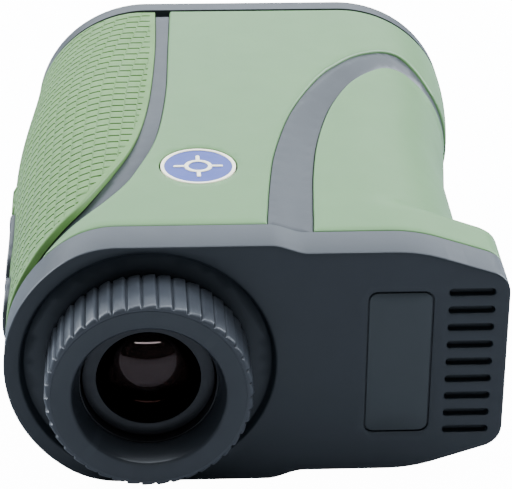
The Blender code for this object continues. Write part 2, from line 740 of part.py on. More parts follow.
def front_bezel():
    outline = section(upper, BEZEL_END, 0.0)
    softened = section(upper, BEZEL_END, BEZEL_EDGE)
    solid = loft([(outline, BEZEL_START), (outline, BEZEL_END - BEZEL_EDGE), (softened, BEZEL_END)])
    bezel = add("front_bezel", solid, CHARCOAL)
    sight = [(0.0, 99.0), (13.2, 99.0), (13.2, 102.2), (14.4, 105.0), (0.0, 105.0)]
    laser = [(0.0, 99.0), (8.1, 99.0), (8.1, 102.6), (8.9, 105.0), (0.0, 105.0)]
    battery = [(0.0, 99.0), (CAP_RADIUS + GAP, 99.0), (CAP_RADIUS + GAP, 105.0), (0.0, 105.0)]
    boolean(bezel, cutter("cut_bezel_sight", turned(sight, 0.0, 40)))
    boolean(bezel, cutter("cut_bezel_laser", turned(laser, LASER_X, ROUND)))
    boolean(bezel, cutter("cut_bezel_battery", turned(battery, BATTERY_X, ROUND)))


# ================================================================================= eyepiece

def eyecup():
    """Ribbed ring with a flat face and a funnel, which the user turns."""
    edge = EYECUP_RADIUS
    profile = [(EYECUP_OPENING, EYECUP_FACE), (edge - 0.45, EYECUP_FACE), (edge, EYECUP_FACE + 0.4),
               (edge, 1.3), (14.5, 1.3), (14.5, -7.6), (12.6, -7.6), (12.4, -5.2), (10.9, -5.2)]
    bm = turned(profile, 0.0, 2 * EYECUP_RIBS, closed=True)
    half_step = math.pi / (2 * EYECUP_RIBS)
    for vert in bm.verts:
        radius = math.hypot(vert.co.x, vert.co.z)
        number = round(math.atan2(vert.co.z, vert.co.x) / (2 * half_step))
        if radius > edge - 0.1 and number % 2:
            vert.co.x *= (edge - RIB_DEPTH) / radius
            vert.co.z *= (edge - RIB_DEPTH) / radius
    add("eyecup", bm, BLACK_RUBBER)


def eyepiece():
    eyecup()
    add("diopter_ring", ring(13.0, 14.2, -7.3, 1.0, segments=ROUND), CHARCOAL)
    tube = [(TUBE_IN, -4.8), (TUBE_OUT, -4.8), (TUBE_OUT, 3.5), (15.0, 3.5), (15.0, 5.0), (TUBE_OUT, 5.0),
            (TUBE_OUT, 21.6), (TUBE_IN, 21.6)]
    add("eyepiece_tube", turned(tube, 0.0, ROUND, closed=True), BLACK_METAL)
    cell = [(8.3, -3.4), (CELL_OUT, -3.4), (CELL_OUT, 14.0), (CELL_IN, 14.0), (CELL_IN, -2.8), (8.3, -2.8)]
    add("eyepiece_cell", turned(cell, 0.0, ROUND, closed=True), BLACK_METAL)
    add("eye_lens", lens(8.5, -2.5, 2.3, 1.2, 1.6), GLASS)
    add("cell_spacer", ring(7.6, 8.5, 2.6, 6.9), BLACK_METAL)
    add("field_lens", lens(8.5, 7.2, 11.0, 0.8, 1.0), GLASS)
    add("cell_retainer", ring(7.4, 8.5, 11.3, 13.2), BLACK_METAL)


# ================================================================================= inside

def frame_plate(name, low, high, holes):
    """Cross wall that fills the housing, with round holes given as (x, radius)."""
    outline = section(skin, (low + high) / 2, SHELL_IN + FRAME_PLAY)
    plate = add(name, loft([(outline, low), (outline, high)]), CHARCOAL)
    for number, (x, radius) in enumerate(holes):
        tool = cutter("cut_{}_{}".format(name, number + 1), disc(radius, low - 1.0, high + 1.0, centre_x=x))
        boolean(plate, tool)
    for label, left, right in (("top", -30.0, FRAME_TOP), ("bottom", FRAME_REACH, 70.0)):
        tool = box((left, low - 1.0, -30.0), (right, high + 1.0, 30.0))
        boolean(plate, cutter("cut_{}_{}".format(name, label), tool))
    return plate


def rear_frame():
    plate = frame_plate("rear_frame", 22.0, 23.8, [(0.0, 9.5)])
    for number, z in enumerate((-COVER_SCREW_Z, COVER_SCREW_Z)):
        post = disc(2.2, 3.6, 22.5, centre_x=COVER_SCREW_X, segments=16)
        hole = disc(SCREW_HOLE, 3.0, 13.0, centre_x=COVER_SCREW_X, segments=16)
        for bm in (post, hole):
            bmesh.ops.translate(bm, vec=(0.0, 0.0, z), verts=bm.verts)
        boolean(plate, cutter("guide_post_{}".format(number + 1), post), "UNION")
        boolean(plate, cutter("cut_post_{}".format(number + 1), hole))


def prisms():
    holder = add("prism_holder", box((-12.2, 27.0, -12.2), (12.2, 57.0, 12.2)), BLACK_METAL)
    boolean(holder, cutter("cut_prism_holder", box((-10.7, 26.0, -10.7), (10.7, 58.0, 10.7))))
    side_window = box((10.0, 40.0, -5.0), (13.0, 50.0, 5.0))
    boolean(holder, cutter("cut_prism_window", side_window))
    add("half_prism", across([(28.5, -9.8), (37.0, -9.8), (41.5, 9.8), (28.5, 9.8)], -9.8, 9.8), GLASS)
    add("roof_prism", across([(37.4, -9.8), (55.5, -9.8), (55.5, 9.8), (41.9, 9.8)], -9.8, 9.8), GLASS)
    add("display_module", box((-8.0, 24.2, -8.0), (8.0, 26.2, 8.0)), GLASS)


def front_optics():
    add("objective_tube", ring(OBJECTIVE_IN, OBJECTIVE_OUT, 60.7, BODY_END, segments=ROUND), BLACK_METAL)
    add("objective_lens", lens(12.5, 91.5, 96.8, 0.9, 1.6, segments=ROUND), GLASS)
    add("objective_retainer", ring(11.8, 12.5, 97.1, 98.7, segments=ROUND), BLACK_METAL)
    add("laser_tube", ring(LASER_IN, LASER_OUT, 70.0, BODY_END, LASER_X, ROUND), BLACK_METAL)
    add("laser_lens", lens(7.5, 93.0, 97.0, 0.6, 1.2, LASER_X), GLASS)
    add("laser_retainer", ring(6.9, 7.5, 97.3, 98.7, LASER_X), BLACK_METAL)
    add("laser_board", box((20.6, 66.6, -8.5), (33.4, 67.8, 8.5)), BOARD)
    diode = [(0.0, 68.1), (2.8, 68.1), (2.8, 69.1), (2.3, 69.1), (2.3, 72.4), (0.0, 72.4)]
    add("laser_diode", turned(diode, LASER_X, 24), STEEL)


def electronics():
    add("receiver_board", box((17.3, 34.0, -9.0), (18.4, 54.0, 9.0)), BOARD)
    can = [(0.0, 12.8), (3.6, 12.8), (3.6, 16.0), (4.1, 16.0), (4.1, 17.0), (0.0, 17.0)]
    add("apd_sensor", swap(turned(can, 0.0, 24), (45.0, 0.0), "x"), STEEL)
    add("main_board", box((21.0, 25.0, -10.2), (46.0, 57.5, -9.0)), BOARD)
    add("processor_chip", box((25.0, 29.0, -8.7), (33.0, 37.0, -7.4)), BLACK_RUBBER)
    coil = [(2.4, -8.7), (5.5, -8.7), (5.5, -3.5), (2.4, -3.5)]
    add("high_voltage_coil", swap(turned(coil, 0.0, 24, closed=True), (39.5, 33.0), "z"), COPPER)
    can = [(0.0, -8.7), (3.2, -8.7), (3.2, 0.5), (0.0, 0.5)]
    add("storage_capacitor", swap(turned(can, 0.0, 24), (40.0, 46.0), "z"), BLUE_ENAMEL)


def battery():
    bore = BATTERY_RADIUS + GAP
    tube = [(0.0, 67.0), (BATTERY_TUBE_OUT, 67.0), (BATTERY_TUBE_OUT, BODY_END), (bore, BODY_END), (bore, 68.0),
            (0.0, 68.0)]
    add("battery_tube", turned(tube, BATTERY_X, ROUND), CHARCOAL)
    cell = [(0.0, BATTERY_Y[0]), (BATTERY_RADIUS, BATTERY_Y[0]), (BATTERY_RADIUS, BATTERY_Y[1] - 0.6),
            (3.2, BATTERY_Y[1] - 0.6), (3.2, BATTERY_Y[1]), (0.0, BATTERY_Y[1])]
    add("battery_cell", turned(cell, BATTERY_X, ROUND), STEEL)
    battery_spring()
    add("contact_plate", disc(6.5, 97.1, 97.6, centre_x=BATTERY_X, segments=24), STEEL,
        pivot=(BATTERY_X, 97.1, 0.0))
    cap = [(0.0, 97.9), (BATTERY_RADIUS, 97.9), (BATTERY_RADIUS, 100.5), (CAP_RADIUS, 100.5),
           (CAP_RADIUS, BEZEL_END - 0.5), (CAP_RADIUS - 0.5, BEZEL_END - 0.1), (0.0, BEZEL_END - 0.1)]
    made = add("battery_cap", turned(cap, BATTERY_X, ROUND), CHARCOAL, pivot=(BATTERY_X, 97.9, 0.0))
    slot = box((BATTERY_X - 6.5, BEZEL_END - 1.5, -0.9), (BATTERY_X + 6.5, BEZEL_END + 1.0, 0.9))
    boolean(made, cutter("cut_coin_slot", slot))


def battery_spring():
    """Conical wire spring against the battery's flat end."""
    curve = bpy.data.curves.new("battery_spring", "CURVE")
    curve.dimensions = "3D"
    curve.bevel_depth = SPRING_WIRE * MM
    curve.bevel_resolution = 0
    curve.use_fill_caps = True
    line = curve.splines.new("POLY")
    count = SPRING_TURNS * 12
    line.points.add(count)
    for i, point in enumerate(line.points):
        t = i / count
        angle = 2 * math.pi * SPRING_TURNS * t
        radius = mix(*SPRING_RADII, t)
        place = Vector((BATTERY_X + radius * math.cos(angle), mix(*SPRING_Y, t), radius * math.sin(angle)))
        point.co = (*((place - ORIGIN) * MM), 1.0)
    made = bpy.data.objects.new("battery_spring", curve)
    curve.materials.append(material(*STEEL))
    bpy.context.collection.objects.link(made)


# ================================================================================= buttons

def button(name, span):
    """Push button whose crowned face stands proud of the grip, with a flange below the housing."""
    low, high = span
    middle = (low + high) / 2
    cap = stadium((middle, 0.0), (high - low) / 2, BUTTON_HALF_WIDTH)
    flange = stadium((middle, 0.0), (high - low) / 2 + FLANGE_WIDTH, BUTTON_HALF_WIDTH + FLANGE_WIDTH)
    plunger = stadium((middle, 0.0), 2.0, 1.5)
    back = BUTTON_SEAT + 0.9
    shape = loft([(cap, -30.0), (cap, BUTTON_SEAT), (flange, BUTTON_SEAT), (flange, back), (plunger, back),
                  (plunger, -16.4)])
    made = add(name, swap(shape, (0.0, 0.0), "x"), CHARCOAL, pivot=(-TOP_RADIUS[0], middle, 0.0))
    crown = disc(TOP_RADIUS[0] + BUTTON_PROUD, low - 2.0, high + 2.0, segments=96)
    boolean(made, cutter("cut_{}_crown".format(name), crown), "INTERSECT")


def switch(name, span):
    profile = [(0.0, -15.5), (1.6, -15.5), (1.6, -15.1), (3.0, -15.1), (3.0, -14.5), (0.0, -14.5)]
    add(name, swap(turned(profile, 0.0, 16), (sum(span) / 2, 0.0), "x"), STEEL)


def buttons():
    button("measure_button", MEASURE_Y)
    button("mode_button", MODE_Y)
    switch("measure_switch", MEASURE_Y)
    switch("mode_switch", MODE_Y)
    add("button_board", box((-14.2, 13.0, -6.0), (-13.3, 51.0, 6.0)), BOARD)


def main():
    for old in list(bpy.data.objects):
        bpy.data.objects.remove(old, do_unlink=True)
    rear_cover()
    label_plate()
    for side in (1, -1):
        housing(side)
        side_panel(side)
        finger_panel(side)
    top_grip()
    side_badge()
    front_bezel()
    eyepiece()
    rear_frame()
    frame_plate("front_frame", 58.6, 60.3, [(0.0, 12.0)])
    prisms()
    front_optics()
    electronics()
    battery()
    buttons()
    for number in range(len(HOUSING_SCREWS)):
        housing_screw(number)
    for number in range(2):
        cover_screw(number)


main()
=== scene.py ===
"""Looks of a handheld laser rangefinder that lies on its left side.

Shapes are drawn in body millimetres: x from the eyepiece axis towards the device's bottom, y from the rear
face forwards, z from the mid-plane between the housing halves.  AXIS, read from the frame, places them in
metres.  A point of the body's skin is named by s, its length along a cross-section measured as x on the flat
side, and by y.
"""
import json
import math

import bmesh
import bpy
import numpy as np
from mathutils import Matrix, Vector, geometry


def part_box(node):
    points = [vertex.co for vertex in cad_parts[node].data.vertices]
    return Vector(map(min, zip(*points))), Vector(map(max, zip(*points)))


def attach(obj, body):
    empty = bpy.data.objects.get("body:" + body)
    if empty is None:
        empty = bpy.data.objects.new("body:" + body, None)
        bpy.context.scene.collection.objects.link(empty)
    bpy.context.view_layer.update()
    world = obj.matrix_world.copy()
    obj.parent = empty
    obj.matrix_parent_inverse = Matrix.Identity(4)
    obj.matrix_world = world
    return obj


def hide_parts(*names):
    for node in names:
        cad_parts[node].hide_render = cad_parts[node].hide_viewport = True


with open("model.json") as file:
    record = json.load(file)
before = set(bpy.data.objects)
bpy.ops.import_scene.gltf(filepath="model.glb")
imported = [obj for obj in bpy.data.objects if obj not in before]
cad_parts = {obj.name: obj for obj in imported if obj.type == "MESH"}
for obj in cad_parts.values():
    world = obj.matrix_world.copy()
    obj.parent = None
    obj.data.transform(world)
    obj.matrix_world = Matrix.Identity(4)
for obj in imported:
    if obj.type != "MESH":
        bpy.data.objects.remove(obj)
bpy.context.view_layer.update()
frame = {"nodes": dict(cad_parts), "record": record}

MM = 0.001


def centre_of(node):
    low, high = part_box(node)
    return (low + high) / 2


AXIS = centre_of("eyepiece_tube")
AXIS.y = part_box("rear_cover")[0].y


def reach(node, axis):
    """Lowest and highest place of a CAD node along an axis, in body millimetres."""
    low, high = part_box(node)
    return (low[axis] - AXIS[axis]) / MM, (high[axis] - AXIS[axis]) / MM


def place_of(node):
    """x of a CAD node's centre, in body millimetres."""
    return (centre_of(node).x - AXIS.x) / MM


# ---- driving dimensions, in body millimetres

HALF_THICK = reach("rear_cover", 2)[1]
COVER_DEPTH = reach("rear_cover", 1)[1]
PANEL_START = COVER_DEPTH + 0.3
BODY_END = reach("right_side_panel", 1)[1]
BEZEL_START, BEZEL_END = reach("front_bezel", 1)
GRIP_END = reach("top_grip", 1)[1]
TOP_RADIUS = (23.0, 21.5)
TOP_SHIFT = 1.8
TOP_TAPER = (60.0, 108.0)
SHOULDER = 15.0
BELLY_CENTRE = 38.2
BELLY_WAIST = 5.3
BELLY_FADE = (48.0, 99.0)
S_BOTTOM = BELLY_CENTRE + HALF_THICK * math.pi / 2
PANEL_THICK = 1.2
SHELL_OUT = 1.5
SHELL_IN = 3.3

RECESS_LEVEL = (20.0, 20.7)
RECESS_START = 19.45
HEEL_END = 57.5
HEEL_CHAMFER_X = 42.7
HEEL_CHAMFER_SLOPE = 0.33
HEEL_BEND = 25.0
HEEL_CORNER = 4.0
HEEL_FADE = (15.5, 22.0)
WAIST_END = (54.7, 57.0)
RAMP_WIDTH = 6.0
RIM = [(19.0, -2.0), (19.25, 8.0), (19.7, 14.0), (20.65, 24.0), (21.85, 33.6), (23.95, 44.0), (26.3, 52.8),
       (29.75, 62.0), (33.35, 69.5), (36.75, 74.0), (39.35, 77.0), (43.0, 80.3), (46.5, 83.0), (50.0, 84.3),
       (54.0, 83.2), (58.0, 81.7), (62.0, 81.5), (66.0, 81.6), (71.97, 81.7)]
PANEL_RIM = [(26.2, -2.0), (26.55, 8.0), (26.85, 12.0), (27.1, 16.0), (27.4, 20.0), (27.85, 26.0),
             (28.45, 32.0), (29.5, 40.0), (31.4, 49.5), (33.9, 58.0), (37.35, 65.5), (40.25, 70.0),
             (43.0, 73.6), (45.8, 76.8), (48.5, 78.9), (51.0, 79.9), (54.0, 79.6), (58.0, 79.2),
             (62.0, 79.3), (66.0, 79.4), (71.97, 79.5)]
GRIP_EDGE = [(3.3, 102.0), (2.8, 80.0), (1.3, 57.3), (-1.0, 41.6), (-4.8, 29.2), (-10.0, 18.6),
             (-14.5, 14.2), (-17.8, 12.0), (-20.6, 10.4), (-27.0, 8.8)]
SIDE_EDGE = [(6.0, 102.0), (5.1, 80.0), (4.2, 60.0), (2.1, 41.5), (-1.6, 28.0), (-4.0, 21.9), (-6.8, 17.0),
             (-9.5, 13.8), (-12.5, 11.2), (-15.2, 9.2), (-17.8, 7.2), (-19.8, 5.4), (-21.2, 3.6)]
STRIPE_DEPTH = 0.45
STRIPE_DIVE = (1.35, 0.35)
SHELL_GAP = 0.15

BADGE_CENTRE = (9.0, 29.6)
BADGE_RADII = (6.3, 6.8)
BADGE_RIM = 0.62
FIELD_DEPTH = 0.14
RETICLE_RADII = (2.35, 1.65)
TICK_PLACE = 3.1
TICK_SIZE = (1.05, 0.34)

BUTTONS = {"measure": (29.0, 49.0), "mode": (14.5, 25.5)}
BUTTON_HALF = 5.2
WINDOW_HALF = 5.5
WINDOW_CLEAR = 0.3
SCREWS = [(17.0, 16.5, 21.5), (49.5, 14.0, 16.6), (17.4, 64.5, 21.5), (41.0, 63.6, 19.2)]
POST_RADIUS = 3.0
SCREW_BORE = 1.1
HEAD_BORE = 2.2

COLUMN_PITCH = 2.15
COLUMN_FAN = 0.0020
ROW_PITCH = 2.37
ROW_GROWTH = 0.0017
ROW_SHIFT = 0.39
GROOVE_DEPTH = 0.17
SLIT_DEPTH = 0.36
BORDER = 1.0
WINDOW_BORDER = 0.8
BORDER_STEP = 0.09
LINE_SPACING = 0.25
GUARD_Y = (51.5, 60.5)
GUARD_HEIGHT = 0.5

DISH_RADIUS = 20.3
DISH_DEPTH = 1.7
EYEPIECE_BORE = 13.0
COVER_SCREW_X = 40.1
COVER_SCREW_Z = 9.0
COVER_SCREW_BORE = 2.1
LABEL_X = (34.8, 45.4)
LABEL_Z = 12.9
LABEL_GAP = 0.25
SLOT_X = (47.7, 55.1)
SLOT_PITCH = 3.15
SLOT_COUNT = 9
SLOT_HALF = 0.65
RIBS = 42
RIB_SHAPE = [(0.0, 0.10), (0.07, 0.0), (0.40, 0.10), (0.72, 0.24), (0.80, 0.34), (0.86, 0.72), (0.93, 0.72)]

GREEN = (0.082, 0.190, 0.055)
GRIP_GREEN = (0.092, 0.200, 0.042)
CHARCOAL = (0.012, 0.016, 0.020)
SKY = (0.82, 0.90, 1.0)
BACKDROP = 15.0
FLOOR_GLOW = 14.0
CAMERA_PLACE = (-3.92, -327.85, 189.46)
CAMERA_DOWN = 27.05
CAMERA_YAW = 3.64
CAMERA_ROLL = 0.78
CAMERA_LENS = 166.8


# ---- curves and loops

def smooth(value, low, high):
    t = np.clip((value - low) / (high - low), 0.0, 1.0)
    return t * t * (3 - 2 * t)


def mix(a, b, t):
    return a + (b - a) * t


def spline(points, steps=8):
    """Catmull-Rom curve through the points, as an array."""
    p = np.array(points, float)
    p = np.vstack([2 * p[0] - p[1], p, 2 * p[-1] - p[-2]])
    t = (np.arange(steps) / steps)[:, None]
    parts = []
    for a, b, c, d in zip(p, p[1:], p[2:], p[3:]):
        parts.append(0.5 * (2 * b + (c - a) * t + (2 * a - 5 * b + 4 * c - d) * t ** 2
                            + (3 * b - a - 3 * c + d) * t ** 3))
    return np.vstack(parts + [p[-2:-1]])


def arc(centre, radius, start, end, steps):
    angles = np.linspace(start, end, steps + 1)
    return np.stack([centre[0] + radius * np.cos(angles), centre[1] + radius * np.sin(angles)], 1)


def circle(centre, radius, steps=96):
    return arc(centre, radius, 0.0, 2 * math.pi, steps)[:-1]


def ellipse(centre, radii, steps=96):
    return circle((0.0, 0.0), 1.0, steps) * np.array(radii) + np.array(centre)


def stadium(centre, half_length, half_width, steps=10, upright=False):
    """Slot outline, long along its first axis, or along its second if upright."""
    run = half_length - half_width
    right = arc((run, 0.0), half_width, -math.pi / 2, math.pi / 2, steps)
    left = arc((-run, 0.0), half_width, math.pi / 2, 3 * math.pi / 2, steps)
    loop = np.vstack([right, left])
    if upright:
        loop = np.stack([-loop[:, 1], loop[:, 0]], 1)
    return loop + np.array(centre)


def rounded_box(x_range, z_range, radius, steps=6):
    corners = [(x_range[1] - radius, z_range[1] - radius), (x_range[0] + radius, z_range[1] - radius),
               (x_range[0] + radius, z_range[0] + radius), (x_range[1] - radius, z_range[0] + radius)]
    parts = [arc(corner, radius, i * math.pi / 2, (i + 1) * math.pi / 2, steps)
             for i, corner in enumerate(corners)]
    return np.vstack(parts)


def resample(line, spacing, closed=False):
    """Points at an even spacing along a polyline; its ends stay."""
    line = np.asarray(line, float)
    if closed:
        line = np.vstack([line, line[:1]])
    lengths = np.concatenate([[0.0], np.cumsum(np.linalg.norm(np.diff(line, axis=0), axis=1))])
    count = max(int(round(lengths[-1] / spacing)), 2)
    at = np.linspace(0.0, lengths[-1], count + 1)
    out = np.stack([np.interp(at, lengths, line[:, 0]), np.interp(at, lengths, line[:, 1])], 1)
    return out[:-1] if closed else out


def chain(*runs):
    """One closed loop from several runs, whose shared ends are kept once."""
    points = []
    for run in runs:
        for point in run:
            if not points or math.dist(points[-1], point) > 1e-4:
                points.append(tuple(point))
    if math.dist(points[0], points[-1]) < 1e-4:
        points.pop()
    return np.array(points)


def distance(points, line, closed=True):
    """Distance from each point to a polyline."""
    ends = np.vstack([line[1:], line[:1]]) if closed else line[1:]
    starts = line if closed else line[:-1]
    best = np.full(len(points), 1e9)
    for a, b in zip(starts, ends):
        run = b - a
        t = np.clip(((points - a) @ run) / max(run @ run, 1e-12), 0.0, 1.0)
        best = np.minimum(best, np.hypot(*(points - a - t[:, None] * run).T))
    return best


def within(points, loop):
    """Which points lie inside a closed loop."""
    hit = np.zeros(len(points), bool)
    x, y = points[:, 0], points[:, 1]
    for (ax, ay), (bx, by) in zip(loop, np.vstack([loop[1:], loop[:1]])):
        crosses = (ay > y) != (by > y)
        hit ^= crosses & (x < ax + (y - ay) / (by - ay if by != ay else 1.0) * (bx - ax))
    return hit


def area(loop):
    x, y = loop[:, 0], loop[:, 1]
    return 0.5 * np.sum(x * np.roll(y, -1) - np.roll(x, -1) * y)


def inset(loop, gap):
    """Closed loop shrunk by a gap, or grown by a negative one."""
    if abs(gap) < 1e-9:
        return loop.copy()
    if area(loop) < 0:
        loop = loop[::-1]
    before = loop - np.roll(loop, 1, 0)
    after = np.roll(loop, -1, 0) - loop
    before /= np.linalg.norm(before, axis=1)[:, None]
    after /= np.linalg.norm(after, axis=1)[:, None]
    tangent = before + after
    tangent /= np.maximum(np.linalg.norm(tangent, axis=1), 1e-6)[:, None]
    normal = np.stack([-tangent[:, 1], tangent[:, 0]], 1)
    stretch = np.clip(np.sum(normal * np.stack([-after[:, 1], after[:, 0]], 1), 1), 0.4, 1.0)
    moved = loop + normal * (gap / stretch)[:, None]
    clear = distance(moved, loop) > abs(gap) * 0.97
    return moved[clear]


def edge_steps(radius, count):
    """(inset, depth) steps of a rounded edge, from its side wall to its flat."""
    steps = []
    for i in range(count + 1):
        angle = math.pi / 2 * i / count
        steps.append((radius * (1 - math.cos(angle)), radius * (1 - math.sin(angle))))
    return steps


def hole_steps(radius, count):
    """(inset, depth) steps of a hole's rounded rim, from the flat into the hole."""
    steps = []
    for i in range(count + 1):
        angle = math.pi / 2 * i / count
        steps.append((-radius * (1 - math.sin(angle)), radius * (1 - math.cos(angle))))
    return steps


# ---- the body's skin

RIM_CURVE = spline(RIM)
PANEL_RIM_CURVE = spline(PANEL_RIM)


def top_end(y):
    """Centre and radius of the round top end, where its shoulder starts and the shoulder's angle."""
    taper = smooth(y, *TOP_TAPER)
    radius = mix(*TOP_RADIUS, taper)
    centre = TOP_SHIFT * taper
    rise = HALF_THICK - SHOULDER
    start = centre - np.sqrt(np.maximum((radius - SHOULDER) ** 2 - rise ** 2, 0.0))
    return centre, radius, start, np.arctan2(centre - start, rise)


def ridge(y):
    centre, radius, start, angle = top_end(y)
    return start - SHOULDER * angle - radius * (math.pi / 2 - angle)


def upper(s, y):
    """(x, z) on the side panel's level: round top end, shoulder, flat side and round belly."""
    centre, radius, start, angle = top_end(y)
    on_shoulder = (start - s) / SHOULDER
    on_top = angle + (start - SHOULDER * angle - s) / radius
    belly = BELLY_CENTRE - BELLY_WAIST * (1 - smooth(y, *BELLY_FADE))
    turn = (s - belly) / (S_BOTTOM - belly) * math.pi / 2
    zones = [on_shoulder > angle, s < start, s <= belly]
    x = np.select(zones, [centre - radius * np.sin(on_top), start - SHOULDER * np.sin(on_shoulder), s],
                  belly + HALF_THICK * np.sin(turn))
    z = np.select(zones, [radius * np.cos(on_top), HALF_THICK - SHOULDER * (1 - np.cos(on_shoulder)),
                          HALF_THICK + 0 * s], HALF_THICK * np.cos(turn))
    return x, z


def heel_outline():
    """Half section of the boxy heel: flat, gentle bend, slope, round corner and bottom."""
    level = RECESS_LEVEL[0]
    slope = math.atan(HEEL_CHAMFER_SLOPE)
    reach_back = HEEL_BEND * math.tan(slope / 2)
    turn = math.pi / 2 - slope
    bend = arc((HEEL_CHAMFER_X - reach_back, level - HEEL_BEND), HEEL_BEND, math.pi / 2, turn, 8)
    cut = HEEL_CORNER * math.tan(turn / 2)
    corner_z = level - HEEL_CHAMFER_SLOPE * (HEEL_END - HEEL_CHAMFER_X)
    corner = arc((HEEL_END - HEEL_CORNER, corner_z - cut), HEEL_CORNER, turn, 0.0, 12)
    return np.vstack([bend, corner, [(HEEL_END, 0.0)]])


HEEL = heel_outline()
HEEL_LENGTHS = np.concatenate([[0.0], np.cumsum(np.linalg.norm(np.diff(HEEL, axis=0), axis=1))])


def lower(s, y):
    """(x, z) on the finger panel's level: a boxy heel that turns into a round waist."""
    run = (s - HEEL[0, 0]) / (S_BOTTOM - HEEL[0, 0]) * HEEL_LENGTHS[-1]
    heel_x = np.where(run < 0, s, np.interp(run, HEEL_LENGTHS, HEEL[:, 0]))
    heel_z = np.interp(run, HEEL_LENGTHS, HEEL[:, 1])
    level = mix(*RECESS_LEVEL, smooth(y, 40.0, 80.0))
    flat_end = mix(*WAIST_END, smooth(y, 52.0, 80.0)) - level
    turn = np.maximum(s - flat_end, 0.0) / (S_BOTTOM - flat_end) * math.pi / 2
    waist_x = np.minimum(s, flat_end) + level * np.sin(turn)
    waist_z = level * np.cos(turn)
    fade = smooth(y, *HEEL_FADE)
    return mix(heel_x, waist_x, fade), mix(heel_z, waist_z, fade)


RECESS = np.vstack([RIM_CURVE, [(S_BOTTOM + 5.0, RIM[-1][1]), (S_BOTTOM + 5.0, RIM[0][1])]])


def skin(s, y):
    """(x, z) on the body's outer face, with the finger recess sinking in from its rim."""
    s, y = np.broadcast_arrays(np.asarray(s, float), np.asarray(y, float))
    shape = s.shape
    points = np.stack([s.ravel(), y.ravel()], 1)
    sink = smooth(distance(points, RIM_CURVE, closed=False), 0.0, RAMP_WIDTH) * within(points, RECESS)
    sink = sink.reshape(shape)
    high, low = upper(s, y), lower(s, y)
    return mix(high[0], low[0], sink), mix(high[1], low[1], sink)


def on(surface, side=1):
    """Placing function (s, y, depth) -> points on one half of the body; depth goes inwards."""
    step = 0.05

    def place(s, y, depth):
        top = ridge(y)
        x, z = surface(s, y)
        ax, az = surface(np.maximum(s - step, top), y)
        bx, bz = surface(np.minimum(s + step, S_BOTTOM), y)
        length = np.hypot(bx - ax, bz - az)
        nx, nz = -(bz - az) / length, (bx - ax) / length
        return np.stack([x - nx * depth, y, side * np.maximum(z - nz * depth, 0.0)], 1)

    return place


def over_top(t, y, depth):
    """Placing function over the top end: t is the signed length from its ridge."""
    centre, radius, start, angle = top_end(y)
    s = ridge(y) + np.abs(t)
    x, z = upper(s, y)
    tilt = np.where(np.abs(t) < radius * (math.pi / 2 - angle), math.pi / 2 - np.abs(t) / radius,
                    np.clip((start - s) / SHOULDER, 0.0, angle))
    return np.stack([x + np.sin(tilt) * depth, y, np.sign(t) * (z - np.cos(tilt) * depth)], 1)


def length_at(x, y):
    """s of a skin point of the upper surface at x, on the round top end or the flat."""
    centre, radius, start, angle = top_end(y)
    on_top = np.arcsin(np.clip((centre - x) / radius, -1.0, 1.0))
    on_shoulder = np.arcsin(np.clip((start - x) / SHOULDER, 0.0, 1.0))
    zones = [on_top > angle, x < start]
    return np.select(zones, [start - SHOULDER * angle - radius * (on_top - angle),
                             start - SHOULDER * on_shoulder], x)


# ---- mesh building

def to_object(name, bm, finish, body, nodes, sharp=40.0):
    """Object from a mesh drawn in body millimetres, which rides on a CAD body and stands for CAD nodes."""
    bmesh.ops.recalc_face_normals(bm, faces=bm.faces)
    bmesh.ops.transform(bm, matrix=Matrix.Translation(AXIS) @ Matrix.Scale(MM, 4), verts=bm.verts)
    mesh = bpy.data.meshes.new(name)
    bm.to_mesh(mesh)
    bm.free()
    mesh.shade_smooth()
    mesh.set_sharp_from_angle(angle=math.radians(sharp))
    made = bpy.data.objects.new(name, mesh)
    bpy.context.collection.objects.link(made)
    mesh.materials.append(finishes[finish])
    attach(made, body)
    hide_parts(*nodes)


def triangulate(stacks, extra, base):
    """Triangles over a domain.

    stacks: [(kind, [(loop, depth), ...]), ...], the outer one first; kind is "outer", "hole" or "pocket".
    extra: points placed inside.  base: depth outside the pockets, as a function of the points.
    Returns points, depths, triangles and, for each stack's boundary loop, its point numbers.
    """
    points, depths, edges, numbers = [], [], [], []
    for kind, rings in stacks:
        first = []
        for loop, depth in rings:
            start = len(points)
            points += [tuple(p) for p in loop]
            depths += list(depth(loop) if callable(depth) else np.full(len(loop), depth))
            count = len(loop)
            edges += [(start + i, start + (i + 1) % count) for i in range(count)]
            first.append(list(range(start, start + count)))
        numbers.append(first)
    outer = stacks[0][1]
    if len(extra):
        keep = within(extra, outer[-1][0])
        extra = extra[keep]
        floor = base(extra) if callable(base) else np.full(len(extra), base)
        clear = np.ones(len(extra), bool)
        for kind, rings in stacks[1:]:
            wide = rings[0][0] if abs(area(rings[0][0])) > abs(area(rings[-1][0])) else rings[-1][0]
            narrow = rings[-1][0]
            covered = within(extra, wide)
            if kind == "hole":
                clear &= ~covered
            else:
                inner = within(extra, narrow)
                clear &= ~covered | inner
                last = rings[-1][1]
                level = last(extra) if callable(last) else np.full(len(extra), last)
                floor = np.where(inner, level, floor)
        extra, floor = extra[clear], floor[clear]
        points += [tuple(p) for p in extra]
        depths += list(floor)
    result = geometry.delaunay_2d_cdt([Vector(p) for p in points], edges, [], 0, 1e-5)
    found, _, faces, origins = result[:4]
    place_in = {}
    out_depth = np.zeros(len(found))
    for i, sources in enumerate(origins):
        for source in sources:
            place_in[source] = i
        if sources:
            out_depth[i] = depths[sources[0]]
    found = np.array([tuple(p) for p in found])
    faces = np.array(faces)
    middle = found[faces].mean(1)
    keep = within(middle, outer[0][0])
    for kind, rings in stacks[1:]:
        if kind == "hole":
            keep &= ~within(middle, rings[-1][0])
    borders = []
    for (kind, rings), rows in zip(stacks, numbers):
        row = rows[0] if kind == "outer" else rows[-1]
        borders.append([place_in[i] for i in row] if kind != "pocket" else None)
    return found, out_depth, faces[keep], borders


